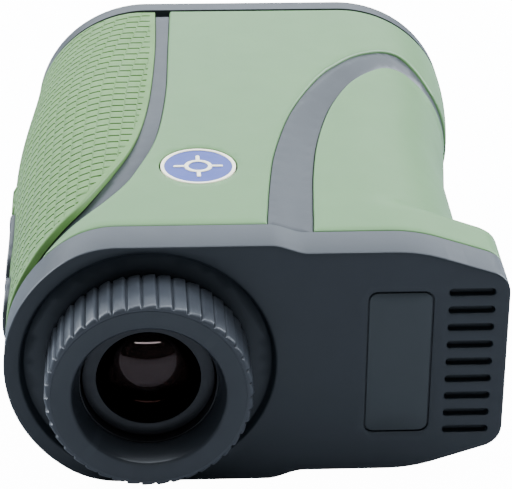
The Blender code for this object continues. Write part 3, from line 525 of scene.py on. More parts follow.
def grid_in(loop, spacing, clear):
    """Staggered grid of points inside a loop, clear of it by a distance."""
    low, high = loop.min(0), loop.max(0)
    rows = np.arange(low[1] + spacing / 2, high[1], spacing * 0.866)
    points = []
    for i, y in enumerate(rows):
        x = np.arange(low[0] + spacing / 2 * (1 + i % 2), high[0], spacing)
        points.append(np.stack([x, np.full(len(x), y)], 1))
    points = np.vstack(points)
    points = points[within(points, loop)]
    return points[distance(points, loop) > clear]


def away_from(points, loops, clear):
    for loop in loops:
        if len(points):
            points = points[distance(points, loop) > clear]
    return points


def relief(place, outline, edge, back, spacing, cuts=(), base=0.0, extra=None):
    """Closed plate over an outline.

    place(u, v, depth) gives body points.  edge and back are (inset, depth) steps from the outline inwards
    on the visible and the hidden face.  cuts are (kind, loop, steps) for holes and pockets.
    """
    stacks = [("outer", [(inset(outline, gap), depth) for gap, depth in edge])]
    for kind, loop, steps in cuts:
        stacks.append((kind, [(inset(loop, gap), depth) for gap, depth in steps]))
    if extra is None:
        loops = [loop for kind, rings in stacks[1:] for loop, depth in (rings[0], rings[-1])]
        extra = away_from(grid_in(stacks[0][1][-1][0], spacing, spacing * 0.5), loops, spacing * 0.5)
    front = triangulate(stacks, extra, base)
    behind = [("outer", [(inset(outline, gap), depth) for gap, depth in back])]
    behind += [(kind, [(rings[-1][0], back[-1][1])]) for kind, rings in stacks[1:] if kind == "hole"]
    loops = [rings[0][0] for kind, rings in behind[1:]]
    filler = away_from(grid_in(behind[0][1][-1][0], spacing * 2, spacing), loops, spacing)
    rear = triangulate(behind, filler, back[-1][1])
    bm = bmesh.new()
    sides = []
    for points, depths, faces, borders in (front, rear):
        spots = place(points[:, 0], points[:, 1], depths)
        used = set(faces.ravel().tolist())
        verts = {i: bm.verts.new(spots[i]) for i in sorted(used)}
        for a, b, c in faces:
            bm.faces.new((verts[a], verts[b], verts[c]))
        sides.append((verts, [row for row in borders if row is not None]))
    (front_verts, front_rows), (rear_verts, rear_rows) = sides
    for row, other in zip(front_rows, rear_rows):
        for i in range(len(row)):
            j = (i + 1) % len(row)
            near = (front_verts[row[i]], front_verts[row[j]])
            far = (rear_verts[other[j]], rear_verts[other[i]])
            bm.faces.new(near + far)
    return bm


def turned(profile, centre_x, segments=96, closed=True, wobble=None):
    """Solid of revolution about a line along y; profile is (radius, y) points, wobble trims the radii."""
    bm = bmesh.new()
    loops = []
    angles = np.linspace(0.0, 2 * math.pi, segments, endpoint=False)
    for number, (radius, height) in enumerate(profile):
        if radius < 1e-6:
            loops.append([bm.verts.new((centre_x, height, 0.0))])
            continue
        radii = np.full(segments, radius)
        if wobble is not None:
            radii = radii - wobble(number, angles)
        loops.append([bm.verts.new((centre_x + r * math.cos(a), height, r * math.sin(a)))
                      for r, a in zip(radii, angles)])
    pairs = list(zip(loops, loops[1:]))
    if closed:
        pairs.append((loops[-1], loops[0]))
    for a, b in pairs:
        for i in range(segments):
            j = (i + 1) % segments
            corners = [a[i % len(a)], b[i % len(b)], b[j % len(b)], a[j % len(a)]]
            corners = list(dict.fromkeys(corners))
            if len(corners) > 2:
                bm.faces.new(corners)
    return bm


def soften(profile, radius, steps):
    """Closed profile with its corners rounded; a corner stays sharp where its sides are short."""
    points = [np.array(p, float) for p in profile]
    out = []
    count = len(points)
    for i, p in enumerate(points):
        a, b = points[i - 1] - p, points[(i + 1) % count] - p
        la, lb = np.linalg.norm(a), np.linalg.norm(b)
        cut = min(radius, la * 0.45, lb * 0.45)
        if cut < 0.02:
            out.append(tuple(p))
            continue
        start, end = p + a / la * cut, p + b / lb * cut
        for k in range(steps + 1):
            t = k / steps
            out.append(tuple((1 - t) ** 2 * start + 2 * t * (1 - t) * p + t ** 2 * end))
    return out


# ---- materials

def fresh_material(name):
    made = bpy.data.materials.new(name)
    made.use_nodes = True
    tree = made.node_tree
    shader = tree.nodes["Principled BSDF"]
    return made, tree, shader


def node(tree, kind, **values):
    made = tree.nodes.new(kind)
    for key, value in values.items():
        if key in made.inputs:
            made.inputs[key].default_value = value
        else:
            setattr(made, key, value)
    return made


def link(tree, a, output, b, socket):
    tree.links.new(a.outputs[output], b.inputs[socket])


def noise(tree, scale, detail=3.0, roughness=0.55, stretch=None):
    coords = node(tree, "ShaderNodeTexCoord")
    made = node(tree, "ShaderNodeTexNoise", Scale=scale, Detail=detail, Roughness=roughness)
    if stretch is None:
        link(tree, coords, "Object", made, "Vector")
    else:
        mapping = node(tree, "ShaderNodeMapping")
        mapping.inputs["Scale"].default_value = stretch
        link(tree, coords, "Object", mapping, "Vector")
        link(tree, mapping, "Vector", made, "Vector")
    return made


def ramp(tree, source, output, stops):
    made = node(tree, "ShaderNodeValToRGB")
    for element, (position, colour) in zip(made.color_ramp.elements, stops):
        element.position = position
        element.color = (*colour, 1.0)
    link(tree, source, output, made, "Fac")
    return made


def grey(value):
    return (value,) * 3


def tones(colour, low, high):
    return tuple(c * low for c in colour), tuple(c * high for c in colour)


def cloudy(tree, scale, detail, colours, ends=(0.3, 0.7)):
    """Two tones of a colour, mixed by a soft noise."""
    return ramp(tree, noise(tree, scale, detail), "Fac", list(zip(ends, colours)))


def set_gloss(tree, shader, source, roughness, ends=(0.3, 0.7)):
    gloss = ramp(tree, source, "Fac", [(end, grey(value)) for end, value in zip(ends, roughness)])
    link(tree, gloss, "Color", shader, "Roughness")


def set_bump(tree, shader, source, strength, distance):
    height = node(tree, "ShaderNodeBump", Strength=strength, Distance=distance)
    link(tree, source, "Fac", height, "Height")
    link(tree, height, "Normal", shader, "Normal")


def plastic(name, colour, roughness, grain=1800.0, bump=0.02, mottle=0.06, wear=0.0):
    """Moulded plastic or rubber: fine grain, faint mottling, uneven gloss and paler worn edges."""
    made, tree, shader = fresh_material(name)
    tint = cloudy(tree, 90.0, 4.0, tones(colour, 1.0 - mottle, 1.0 + mottle), (0.35, 0.65))
    colour_out, colour_socket = tint, "Color"
    if wear > 0:
        blend = node(tree, "ShaderNodeMix", data_type="RGBA")
        link(tree, edge_wear(tree, wear), "Color", blend, 0)
        link(tree, tint, "Color", blend, 6)
        blend.inputs[7].default_value = (*[min(1.0, c * 1.6 + 0.02) for c in colour], 1.0)
        colour_out, colour_socket = blend, 2
    link(tree, colour_out, colour_socket, shader, "Base Color")
    set_gloss(tree, shader, noise(tree, 260.0, 3.0), roughness)
    set_bump(tree, shader, noise(tree, grain, 2.0, 0.7), bump * 10, 0.00003)
    return made


def edge_wear(tree, amount):
    """Mask that is bright on convex edges."""
    geometry_node = node(tree, "ShaderNodeNewGeometry")
    return ramp(tree, geometry_node, "Pointiness", [(0.52, grey(0.0)), (0.60, grey(amount))])


def metal(name, colour, roughness, metallic=1.0, brushed=None):
    """Metal with fine streaks, brushed along one direction if asked."""
    made, tree, shader = fresh_material(name)
    tint = cloudy(tree, 120.0, 3.0, tones(colour, 0.92, 1.06))
    link(tree, tint, "Color", shader, "Base Color")
    shader.inputs["Metallic"].default_value = metallic
    streaks = noise(tree, 700.0, 2.0, 0.6, stretch=brushed)
    set_gloss(tree, shader, streaks, roughness)
    set_bump(tree, shader, streaks, 0.12, 0.00002)
    return made


def glass(name, tint, coating):
    """Coated optical glass, very slightly smeared, with a dark tint that paints the shade of the body's dark
    inside seen through the lenses.
    """
    made, tree, shader = fresh_material(name)
    colour = cloudy(tree, 60.0, 2.0, tones(tint, 0.94, 1.0))
    link(tree, colour, "Color", shader, "Base Color")
    set_gloss(tree, shader, noise(tree, 150.0, 2.0), (0.0, 0.03), (0.3, 0.8))
    shader.inputs["Transmission Weight"].default_value = 1.0
    shader.inputs["IOR"].default_value = 1.45
    shader.inputs["Specular Tint"].default_value = (*coating, 1.0)
    return made


def board(name, colour):
    """Circuit board: solder mask with faint tracks."""
    made, tree, shader = fresh_material(name)
    coords = node(tree, "ShaderNodeTexCoord")
    brick = node(tree, "ShaderNodeTexBrick", Scale=420.0)
    brick.inputs["Mortar Size"].default_value = 0.03
    link(tree, coords, "Object", brick, "Vector")
    low, high = tones(colour, 0.8, 1.5)
    for socket, tone in (("Color1", colour), ("Color2", low), ("Mortar", high)):
        brick.inputs[socket].default_value = (*tone, 1.0)
    link(tree, brick, "Color", shader, "Base Color")
    set_gloss(tree, shader, noise(tree, 300.0), (0.3, 0.45))
    set_bump(tree, shader, brick, 0.3, 0.00003)
    return made


finishes = {
    "green_panel": plastic("green_panel", GREEN, roughness=(0.42, 0.45), grain=2600.0, bump=0.015,
                           mottle=0.03, wear=0.25),
    "green_rubber": plastic("green_rubber", GRIP_GREEN, roughness=(0.46, 0.56), grain=2200.0, bump=0.02,
                            mottle=0.05, wear=0.2),
    "charcoal_plastic": plastic("charcoal_plastic", CHARCOAL, roughness=(0.41, 0.44), grain=2400.0,
                                bump=0.02, mottle=0.08, wear=0.3),
    "label_film": plastic("label_film", (0.024, 0.030, 0.032), roughness=(0.3, 0.36), grain=900.0,
                          bump=0.004, mottle=0.04),
    "black_rubber": plastic("black_rubber", (0.014, 0.017, 0.021), roughness=(0.34, 0.44), grain=2000.0,
                            bump=0.03, mottle=0.1, wear=0.3),
    # paler copy of black_rubber for the eyecup's ribs: painted sheen of the overhead light on them
    "rib_sheen_rubber": plastic("rib_sheen_rubber", (0.033, 0.037, 0.044), roughness=(0.34, 0.46), grain=2000.0,
                              bump=0.03, mottle=0.12, wear=0.3),
    "blue_enamel": plastic("blue_enamel", (0.022, 0.045, 0.27), roughness=(0.40, 0.46), grain=500.0,
                           bump=0.003, mottle=0.04),
    "badge_cream": plastic("badge_cream", (1.0, 0.92, 0.68), roughness=(0.25, 0.32), grain=700.0,
                           bump=0.004, mottle=0.03),
    "black_metal": metal("black_metal", (0.012, 0.012, 0.014), (0.34, 0.46), metallic=0.3),
    "bright_steel": metal("bright_steel", (0.60, 0.60, 0.60), (0.22, 0.34), brushed=(1.0, 12.0, 1.0)),
    "copper_wire": metal("copper_wire", (0.55, 0.26, 0.10), (0.28, 0.4), brushed=(1.0, 1.0, 14.0)),
    # dark brown glass tint: painted shade of the dark inside of the body, seen through every lens
    "coated_glass": glass("coated_glass", (0.15, 0.095, 0.085), (0.95, 0.72, 0.68)),
    "circuit_board": board("circuit_board", (0.02, 0.14, 0.06)),
    "chip_black": plastic("chip_black", (0.015, 0.015, 0.016), roughness=(0.45, 0.6), grain=1500.0),
    "capacitor_sleeve": plastic("capacitor_sleeve", (0.04, 0.05, 0.12), roughness=(0.2, 0.3), bump=0.004),
}


def dress_frame():
    """Give every CAD node the procedural finish of its material slot."""
    for part in frame["record"]["subparts"]:
        node_object = frame["nodes"][part["node"]]
        node_object.data.materials.clear()
        node_object.data.materials.append(finishes[part["material_slot"]])


# ---- panels

def clip_y(curve, low, high):
    """Part of a curve, which runs along y, between two values of y."""
    y = curve[:, 1]
    if y[0] > y[-1]:
        return clip_y(curve[::-1], low, high)[::-1]
    xs = np.interp([low, high], y, curve[:, 0])
    inner = curve[(y > low + 1e-3) & (y < high - 1e-3)]
    return np.vstack([[(xs[0], low)], inner, [(xs[1], high)]])


def edge_curve(points, steps=8):
    """Edge given as (x, y) seen from the side, as an (s, y) curve on the skin."""
    curve = spline(points, steps)
    return np.stack([length_at(curve[:, 0], curve[:, 1]), curve[:, 1]], 1)


def rim_run(curve):
    """Rim curve from the panels' rear edge to its end at the bottom."""
    start = np.interp(PANEL_START, curve[:20, 1], curve[:20, 0])
    inner = curve[(curve[:, 1] > PANEL_START + 0.05) & (curve[:, 0] < S_BOTTOM - 0.05)]
    return np.vstack([[(start, PANEL_START)], inner, [(S_BOTTOM, curve[-1][1])]])


def loop_of(spacing, *lines):
    """Closed loop through lines that meet end to end, with points at an even spacing."""
    return chain(*[resample(np.array(line), spacing) for line in lines])


def side_panel_outline():
    edge = clip_y(edge_curve(SIDE_EDGE), PANEL_START, BODY_END)
    rim = rim_run(RIM_CURVE)
    corner = (S_BOTTOM, BODY_END)
    return loop_of(0.8, [edge[-1], rim[0]], rim, [rim[-1], corner], [corner, edge[0]], edge)


def side_panel(side):
    name = "right" if side > 0 else "left"
    outline = inset(side_panel_outline(), 0.06)
    cuts = []
    if side > 0:
        seat = ellipse(BADGE_CENTRE, [r + 0.25 for r in BADGE_RADII])
        cuts.append(("hole", seat, hole_steps(0.12, 2)))
    bm = relief(on(upper, side), outline, edge_steps(0.55, 4), [(0.0, PANEL_THICK)], 1.3, cuts)
    to_object(name + "_side_skin", bm, "green_panel", "body", [name + "_side_panel"])


def on_side(x, y, depth):
    """Placing function on the flat right side."""
    return np.stack([x, y, HALF_THICK - depth], 1)


def badge():
    """Enamelled field in a raised rim, with a plain reticle."""
    rim = ellipse(BADGE_CENTRE, BADGE_RADII)
    opening = inset(rim, BADGE_RIM)
    bm = relief(on_side, rim, [(0.0, 0.12), (0.05, 0.03), (0.14, 0.0)], [(0.0, 0.5)], 0.6,
                [("hole", opening, [(-0.14, 0.0), (-0.05, 0.03), (0.0, 0.1)])])
    to_object("badge_rim", bm, "badge_cream", "body", ["side_badge"])
    field = inset(rim, BADGE_RIM - 0.05)
    bm = relief(on_side, field, [(0.0, FIELD_DEPTH)], [(0.0, 0.5)], 0.7, base=FIELD_DEPTH)
    to_object("badge_field", bm, "blue_enamel", "body", ["side_badge"])
    steps = [(0.0, FIELD_DEPTH), (0.03, 0.04), (0.1, 0.0)]
    outer, inner = (circle(BADGE_CENTRE, radius, 64) for radius in RETICLE_RADII)
    parts = [relief(on_side, outer, steps, [(0.0, 0.2)], 0.4, [("hole", inner, [(-0.08, 0.0), (0.0, 0.05)])])]
    for turn in range(4):
        angle = turn * math.pi / 2
        across, along = TICK_PLACE * math.cos(angle), TICK_PLACE * math.sin(angle)
        middle = (BADGE_CENTRE[0] + across, BADGE_CENTRE[1] + along)
        tick = stadium(middle, *TICK_SIZE, 5, upright=turn % 2 == 1)
        parts.append(relief(on_side, tick, steps, [(0.0, 0.2)], 0.4))
    to_object("badge_mark", joined(parts), "badge_cream", "body", ["side_badge"])


def joined(parts):
    """One mesh from several, which are freed."""
    whole = bmesh.new()
    for part in parts:
        mesh = bpy.data.meshes.new("part")
        part.to_mesh(mesh)
        part.free()
        whole.from_mesh(mesh)
        bpy.data.meshes.remove(mesh)
    return whole


def finger_panel(side):
    name = "right" if side > 0 else "left"
    rim = rim_run(PANEL_RIM_CURVE)
    corner = (S_BOTTOM, PANEL_START)
    outline = inset(loop_of(0.8, rim, [rim[-1], corner], [corner, rim[0]]), 0.12)
    bm = relief(on(skin, side), outline, edge_steps(0.35, 3), [(0.0, PANEL_THICK)], 1.0)
    to_object(name + "_finger_skin", bm, "green_panel", "body", [name + "_finger_panel"])


# ---- housing with its stripes

def arc_stripe_outline():
    """Band between the side panel and the finger panel, closed under the side panel's rim."""
    outer = rim_run(RIM_CURVE)
    inner = rim_run(PANEL_RIM_CURVE)
    return loop_of(0.8, outer, [outer[-1], inner[-1]], inner[::-1], [inner[0], outer[0]])


def grip_stripe_outline():
    """Band between the grip and the side panel."""
    outer = clip_y(edge_curve(SIDE_EDGE), 9.0, 97.6)
    inner = clip_y(edge_curve(GRIP_EDGE), 10.6, 97.6)
    return loop_of(0.8, inner[::-1], [inner[0], outer[0]], outer, [outer[-1], inner[-1]])


def grip_stripe_depth(points):
    """The stripe lies nearly flush at the front and dives towards the rear."""
    return mix(*STRIPE_DIVE, smooth(points[:, 1], 14.0, 52.0))


def housing_outline():
    """Half shell with half windows for the two buttons at the ridge."""
    line = []
    for y in [*np.arange(PANEL_START, BODY_END, 1.0), BODY_END]:
        line.append((float(ridge(np.array(y))) + SHELL_GAP + window_reach(y), y))
    top = np.array(line)[::-1]
    corners = [top[-1], (S_BOTTOM - SHELL_GAP, PANEL_START), (S_BOTTOM - SHELL_GAP, BODY_END), top[0]]
    runs = [resample(np.array(pair), 1.2) for pair in zip(corners, corners[1:])]
    return chain(*runs, top)


def window_reach(y):
    """How far a button window cuts into the half shell at y."""
    for low, high in BUTTONS.values():
        middle = (low + high) / 2
        run = (high - low) / 2 + WINDOW_CLEAR
        if abs(y - middle) < run:
            past = max(abs(y - middle) - (run - WINDOW_HALF), 0.0)
            return math.sqrt(max(WINDOW_HALF ** 2 - past ** 2, 0.0))
    return 0.0


def bosses(side):
    """Screw posts from the joint plane up to the shell; the left ones hold the screw heads."""
    parts = []
    for x, y, level in SCREWS:
        seat = level - (4.0 if side < 0 else 2.4)
        rings = [(SCREW_BORE, SHELL_GAP, seat)]
        if side < 0:
            rings.append((HEAD_BORE, seat, level - 1.8))
        for bore, low, high in rings:
            post = turned([(bore, low), (POST_RADIUS, low), (POST_RADIUS, high), (bore, high)], 0.0, 32)
            for vert in post.verts:
                vert.co = (vert.co.x + x, vert.co.z + y, side * vert.co.y)
            parts.append(post)
    return parts


def length_on_skin(x, y):
    """s of the skin's point at x on the flat or in the recess."""
    s = np.linspace(0.0, 60.0, 601)
    return float(np.interp(x, skin(s, np.full(601, y))[0], s))


def housing(side):
    name = "right" if side > 0 else "left"
    arc_steps = [(-0.05, SHELL_OUT), (0.02, STRIPE_DEPTH + 0.06), (0.12, STRIPE_DEPTH)]

    def stripe_edge(points):
        return grip_stripe_depth(points) + 0.06

    grip_steps = [(-0.05, SHELL_OUT + 0.1), (0.02, stripe_edge), (0.12, grip_stripe_depth)]
    cuts = [("pocket", arc_stripe_outline(), arc_steps), ("pocket", grip_stripe_outline(), grip_steps)]
    if side < 0:
        for x, y, _ in SCREWS:
            cuts.append(("hole", circle((length_on_skin(x, y), y), HEAD_BORE, 32), [(0.0, SHELL_OUT)]))
    bm = relief(on(skin, side), housing_outline(), [(0.0, SHELL_OUT)], [(0.0, SHELL_IN)], 1.4, cuts,
                base=SHELL_OUT)
    bm = joined([bm] + bosses(side))
    to_object(name + "_shell", bm, "charcoal_plastic", "body", [name + "_housing"])


# ---- top grip

def grip_outline():
    """Outline of the grip over the top end, as (t, y)."""
    edge = edge_curve(GRIP_EDGE, 12)
    edge = edge[edge[:, 0] > ridge(edge[:, 1]) + 0.01]
    t = edge[:, 0] - ridge(edge[:, 1])
    half = np.stack([t, edge[:, 1]], 1)
    half = clip_y(half, half[:, 1].min(), GRIP_END)
    rear = (0.0, half[-1][1] - 0.15)
    left = half[::-1] * np.array([-1.0, 1.0])
    return loop_of(0.6, np.vstack([half, [rear], left]), [left[-1], half[0]])


def fan(y):
    """Width of a column of tiles at y."""
    return COLUMN_PITCH * (1 + COLUMN_FAN * (y - 30.0))


def row_number(y):
    """Row of tiles at a length along the body; rows get longer towards the front."""
    return np.log1p(ROW_GROWTH * y) / (ROW_GROWTH * ROW_PITCH)


def row_start(number):
    return np.expm1(number * ROW_GROWTH * ROW_PITCH) / ROW_GROWTH


def grip_points():
    """Mesh points of the tiles: close together at the grooves' walls."""
    across = [-0.5, -0.45, -0.40, 0.0, 0.40, 0.45]
    along = [-0.095, -0.045, 0.045, 0.095, 0.28, 0.5, 0.72]
    points = []
    for column in range(-18, 19):
        shift = ROW_SHIFT * abs(column)
        for row in range(-2, 44):
            for a in along:
                y = row_start(row + a) + shift
                for c in across:
                    points.append(((column + c) * fan(y), y))
    return np.array(points)


def grip_depth(outline, windows):
    """Depth of the moulded tiles: shallow grooves between columns and deeper slits across them."""

    def depth(points):
        t, y = points[:, 0], points[:, 1]
        column = np.round(t / fan(y))
        off_column = (0.5 - np.abs(t / fan(y) - column)) * fan(y)
        row = row_number(y - ROW_SHIFT * np.abs(column))
        off_row = np.abs(row - np.round(row)) * ROW_PITCH
        groove = GROOVE_DEPTH * (1 - smooth(off_column, 0.02, 0.21))
        slit = SLIT_DEPTH * (1 - smooth(off_row, 0.10, 0.22)) * smooth(off_column, 0.05, 0.2)
        inner = smooth(distance(points, outline), BORDER - BORDER_STEP, BORDER + BORDER_STEP)
        inner = np.where(y > GRIP_END - 1.5, 1.0, inner)
        for window in windows:
            away = distance(points, window)
            inner = inner * smooth(away, WINDOW_BORDER - BORDER_STEP, WINDOW_BORDER + BORDER_STEP)
        middle = sum(GUARD_Y) / 2
        past = np.hypot(t / 5.5, (y - middle) / (GUARD_Y[1] - middle))
        guard = GUARD_HEIGHT * (1 - smooth(past, 0.72, 1.0))
        return np.maximum(groove, slit) * inner - guard

    return depth


def button_outline(low, high, clear, half_width):
    return stadium((0.0, (low + high) / 2), (high - low) / 2 + clear, half_width, steps=16, upright=True)


def top_grip():
    outline = inset(grip_outline(), 0.05)
    windows = [button_outline(low, high, WINDOW_CLEAR, WINDOW_HALF) for low, high in BUTTONS.values()]
    lines = []
    for step in (-BORDER_STEP, BORDER_STEP):
        loops = [inset(outline, BORDER + step)] + [inset(window, -WINDOW_BORDER - step) for window in windows]
        lines += [resample(loop, LINE_SPACING, closed=True) for loop in loops]
    extra = grip_points()
    extra = extra[within(extra, inset(outline, BORDER * 0.6))]
    extra = away_from(extra, lines, 0.09)
    extra = away_from(extra, windows, 0.45)
    extra = np.vstack([extra] + lines)
    cuts = [("hole", window, hole_steps(0.3, 3)) for window in windows]
    bm = relief(over_top, outline, edge_steps(0.3, 3), [(0.0, PANEL_THICK)], 1.5, cuts,
                base=grip_depth(outline, windows), extra=extra)
    to_object("grip_skin", bm, "green_rubber", "body", ["top_grip"], sharp=50.0)


# ---- rear cover and bezel

def section(surface, y, count=170):
    """Closed (x, z) outline of the body at y."""
    top = float(ridge(np.array(y)))
    s = np.linspace(top, S_BOTTOM, count)
    points = on(surface)(s, np.full(count, float(y)), 0.0)
    half = points[:, [0, 2]]
    half[0, 1] = half[-1, 1] = 0.0
    return np.vstack([half, (half[1:-1] * np.array([1.0, -1.0]))[::-1]])


def from_rear(x, z, depth):
    return np.stack([x, depth, z], 1)


def from_front(x, z, depth):
    return np.stack([x, BEZEL_END - depth, z], 1)


def rear_cover():
    label = rounded_box(LABEL_X, (-LABEL_Z, LABEL_Z), 1.6)
    cuts = [("pocket", label, [(-0.12, 0.0), (0.0, 0.1), (0.05, 0.5)])]
    for z in (-COVER_SCREW_Z, COVER_SCREW_Z):
        cuts.append(("hole", circle((COVER_SCREW_X, z), COVER_SCREW_BORE, 24), [(0.0, 0.5)]))
    for i in range(SLOT_COUNT):
        centre = (sum(SLOT_X) / 2, (i - (SLOT_COUNT - 1) / 2) * SLOT_PITCH)
        slot = stadium(centre, (SLOT_X[1] - SLOT_X[0]) / 2, SLOT_HALF, steps=8)
        cuts.append(("pocket", slot, [(-0.25, 0.0), (-0.08, 0.06), (0.0, 0.22), (0.08, 1.3)]))
    dish_edge = [(-0.5, 0.0), (-0.2, 0.06), (0.0, 0.25), (0.35, DISH_DEPTH - 0.2), (0.6, DISH_DEPTH)]
    cuts.append(("pocket", circle((0.0, 0.0), DISH_RADIUS, 140), dish_edge))
    cuts.append(("hole", circle((0.0, 0.0), EYEPIECE_BORE, 96), [(0.0, DISH_DEPTH)]))
    back = [(0.0, COVER_DEPTH), (2.2, COVER_DEPTH), (2.3, 3.2)]
    bm = relief(from_rear, section(skin, COVER_DEPTH)[::-1], edge_steps(0.35, 4), back, 1.6, cuts)
    to_object("rear_cover_skin", bm, "charcoal_plastic", "body", ["rear_cover"])


def label_plate():
    """Blank plate in the cover's recess."""
    x_range = (LABEL_X[0] + LABEL_GAP, LABEL_X[1] - LABEL_GAP)
    outline = rounded_box(x_range, (-LABEL_Z + LABEL_GAP, LABEL_Z - LABEL_GAP), 1.4)
    bm = relief(from_rear, outline[::-1], [(0.0, 0.2), (0.04, 0.12), (0.12, 0.08)], [(0.0, 0.35)], 2.5)
    to_object("label_film_plate", bm, "label_film", "body", ["label_plate"])


def battery_cap():
    """Screw cap with a finely knurled edge and a coin slot."""
    middle = place_of("battery_cap")
    low, high = reach("battery_cap", 1)
    radius = (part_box("battery_cap")[1].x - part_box("battery_cap")[0].x) / 2 / MM

    def place(x, z, depth):
        return np.stack([x, high - depth, z], 1)

    slot = stadium((middle, 0.0), 6.4, 0.9, steps=8)
    wave = circle((0.0, 0.0), 1.0, 360)
    turn = np.arctan2(wave[:, 1], wave[:, 0])
    knurled = wave * (radius - 0.12 * (0.5 + 0.5 * np.cos(60 * turn)))[:, None] + np.array([middle, 0.0])
    bm = relief(place, knurled, [(0.0, 0.5), (0.15, 0.14), (0.5, 0.0)], [(0.0, high - 100.5)], 1.2,
                [("pocket", slot, [(-0.15, 0.0), (0.0, 0.12), (0.05, 1.4)])])
    stem = turned([(0.0, low), (7.8, low), (7.8, 100.6), (0.0, 100.6)], middle, 64, closed=False)
    to_object("battery_cap_fine", joined([bm, stem]), "charcoal_plastic", "cap", ["battery_cap"])


def button(name, body):
    """Push button with a crowned face."""
    low, high = BUTTONS[name.split("_")[0]]
    outline = button_outline(low, high, 0.0, BUTTON_HALF)
    proud = -reach(name, 0)[0] - TOP_RADIUS[0]
    edge = [(0.0, 0.2), (0.0, 0.5 - proud)] + [(g, d - proud) for g, d in edge_steps(0.5, 4)[1:]]
    edge = [(0.001 * i + g, d) for i, (g, d) in enumerate(edge)]
    bm = relief(over_top, outline, edge, [(0.0, 4.6)], 0.9)
    to_object(name + "_fine", bm, "charcoal_plastic", body, [name])


def front_bezel():
    """Front frame with the openings for the objective, the laser and the battery cap."""
    outline = section(upper, BEZEL_END)[::-1]
    rows = [("objective_tube", 13.2, 96, [(-1.2, 0.0), (-1.0, 0.12), (0.0, 2.2)]),
            ("laser_tube", 8.1, 80, [(-0.8, 0.0), (-0.65, 0.1), (0.0, 1.8)]),
            ("battery_tube", 8.9, 80, [(-0.3, 0.0), (-0.1, 0.08), (0.0, 0.3)])]
    cuts = [("hole", circle((place_of(node_name), 0.0), radius, count), chamfer)
            for node_name, radius, count, chamfer in rows]
    back = [(0.0, BEZEL_END - BEZEL_START)]
    bm = relief(from_front, outline, edge_steps(0.9, 5), back, 2.0, cuts)
    to_object("front_bezel_skin", bm, "charcoal_plastic", "body", ["front_bezel"])


# ---- eyepiece

def eyecup():
    """Rubber cup and the ring of grip ribs round it, in a paler rubber that is painted sheen of the overhead
    light on the ribs.
    """
    face, back = reach("eyecup", 1)
    edge = reach("eyecup", 2)[1]
    joint = edge - 1.1
    cup = [(12.0, face + 0.5), (12.25, face + 0.15), (12.6, face), (joint, face), (joint, back), (14.5, back),
           (14.5, -7.6), (12.6, -7.6), (12.4, -5.2), (10.9, -5.2), (10.9, -5.5)]
    to_object("eyecup_skin", turned(cup, 0.0, RIBS * 6), "black_rubber", "diopter", ["eyecup"], sharp=50.0)
    ring = [(joint - 0.05, face + 0.1), (edge - 0.95, face), (edge - 0.55, face + 0.06),
            (edge - 0.15, face + 0.3), (edge, face + 0.75), (edge, -3.0), (edge, back - 0.4),
            (edge - 0.4, back), (joint - 0.05, back)]
    ribbed = {2: 0.15, 3: 0.75, 4: 1.0, 5: 1.0, 6: 1.0, 7: 0.6}
    phases = [p for p, d in RIB_SHAPE] + [1.0]
    depths = [d for p, d in RIB_SHAPE] + [RIB_SHAPE[0][1]]

    def wobble(number, angles):
        phase = (angles * RIBS / (2 * math.pi)) % 1.0
        return ribbed.get(number, 0.0) * np.interp(phase, phases, depths)

    bm = turned(ring, 0.0, RIBS * 14, wobble=wobble)
    to_object("eyecup_ribs", bm, "rib_sheen_rubber", "diopter", ["eyecup"], sharp=50.0)


def lens_profile(radius, low, high, sag_low, sag_high, steps=14):
    """(radius, y) points of a lens from its rear vertex round its edge to its front vertex."""
    shares = [i / steps for i in range(steps + 1)]
    rear = [(radius * t, low + sag_low * t * t) for t in shares]
    return rear + [(radius * (1 - t), high - sag_high * (1 - t) * (1 - t)) for t in shares]


def ring_profile(inner, outer, low, high):
    return [(inner, low), (outer, low), (outer, high), (inner, high)]


def round_pieces():
    """Turned tubes, rings and lenses that show."""
    objective_x, laser_x = place_of("objective_tube"), place_of("laser_tube")
    rings = [
        ("diopter_ring", "diopter", "charcoal_plastic", 0.0, ring_profile(13.0, 14.2, -7.3, 1.0)),
        ("eyepiece_tube", "body", "black_metal", 0.0,
         [(10.8, -4.8), (12.7, -4.8), (12.7, 3.5), (15.0, 3.5), (15.0, 5.0), (12.7, 5.0), (12.7, 21.6),
          (10.8, 21.6)]),
        ("eyepiece_cell", "eyepiece", "black_metal", 0.0,
         [(8.3, -3.4), (10.5, -3.4), (10.5, 14.0), (8.8, 14.0), (8.8, -2.8), (8.3, -2.8)]),
        ("objective_tube", "body", "black_metal", objective_x, ring_profile(12.8, 13.9, 60.7, BODY_END)),
        ("objective_retainer", "body", "black_metal", objective_x,
         [(11.8, 97.1), (12.5, 97.1), (12.5, 98.7), (11.8, 98.2)]),
        ("laser_tube", "body", "black_metal", laser_x, ring_profile(7.8, 8.7, 70.0, BODY_END)),
        ("laser_retainer", "body", "black_metal", laser_x,
         [(6.9, 97.3), (7.5, 97.3), (7.5, 98.7), (6.9, 98.3)]),
    ]
    for name, body, finish, x, profile in rings:
        to_object(name + "_fine", turned(soften(profile, 0.15, 2), x), finish, body, [name])
    lenses = [
        ("eye_lens", "eyepiece", 0.0, (8.5, -2.5, 2.3, 3.4, 0.6)),
        ("field_lens", "eyepiece", 0.0, (8.5, 7.2, 11.0, 0.8, 1.0)),
        ("objective_lens", "body", objective_x, (12.5, 91.5, 96.8, 0.9, 1.6)),
        ("laser_lens", "body", laser_x, (7.5, 93.0, 97.0, 0.6, 1.2)),
    ]
    for name, body, x, shape in lenses:
        bm = turned(lens_profile(*shape), x, closed=False)
        to_object(name + "_fine", bm, "coated_glass", body, [name], sharp=30.0)


# ---- stage, light and camera

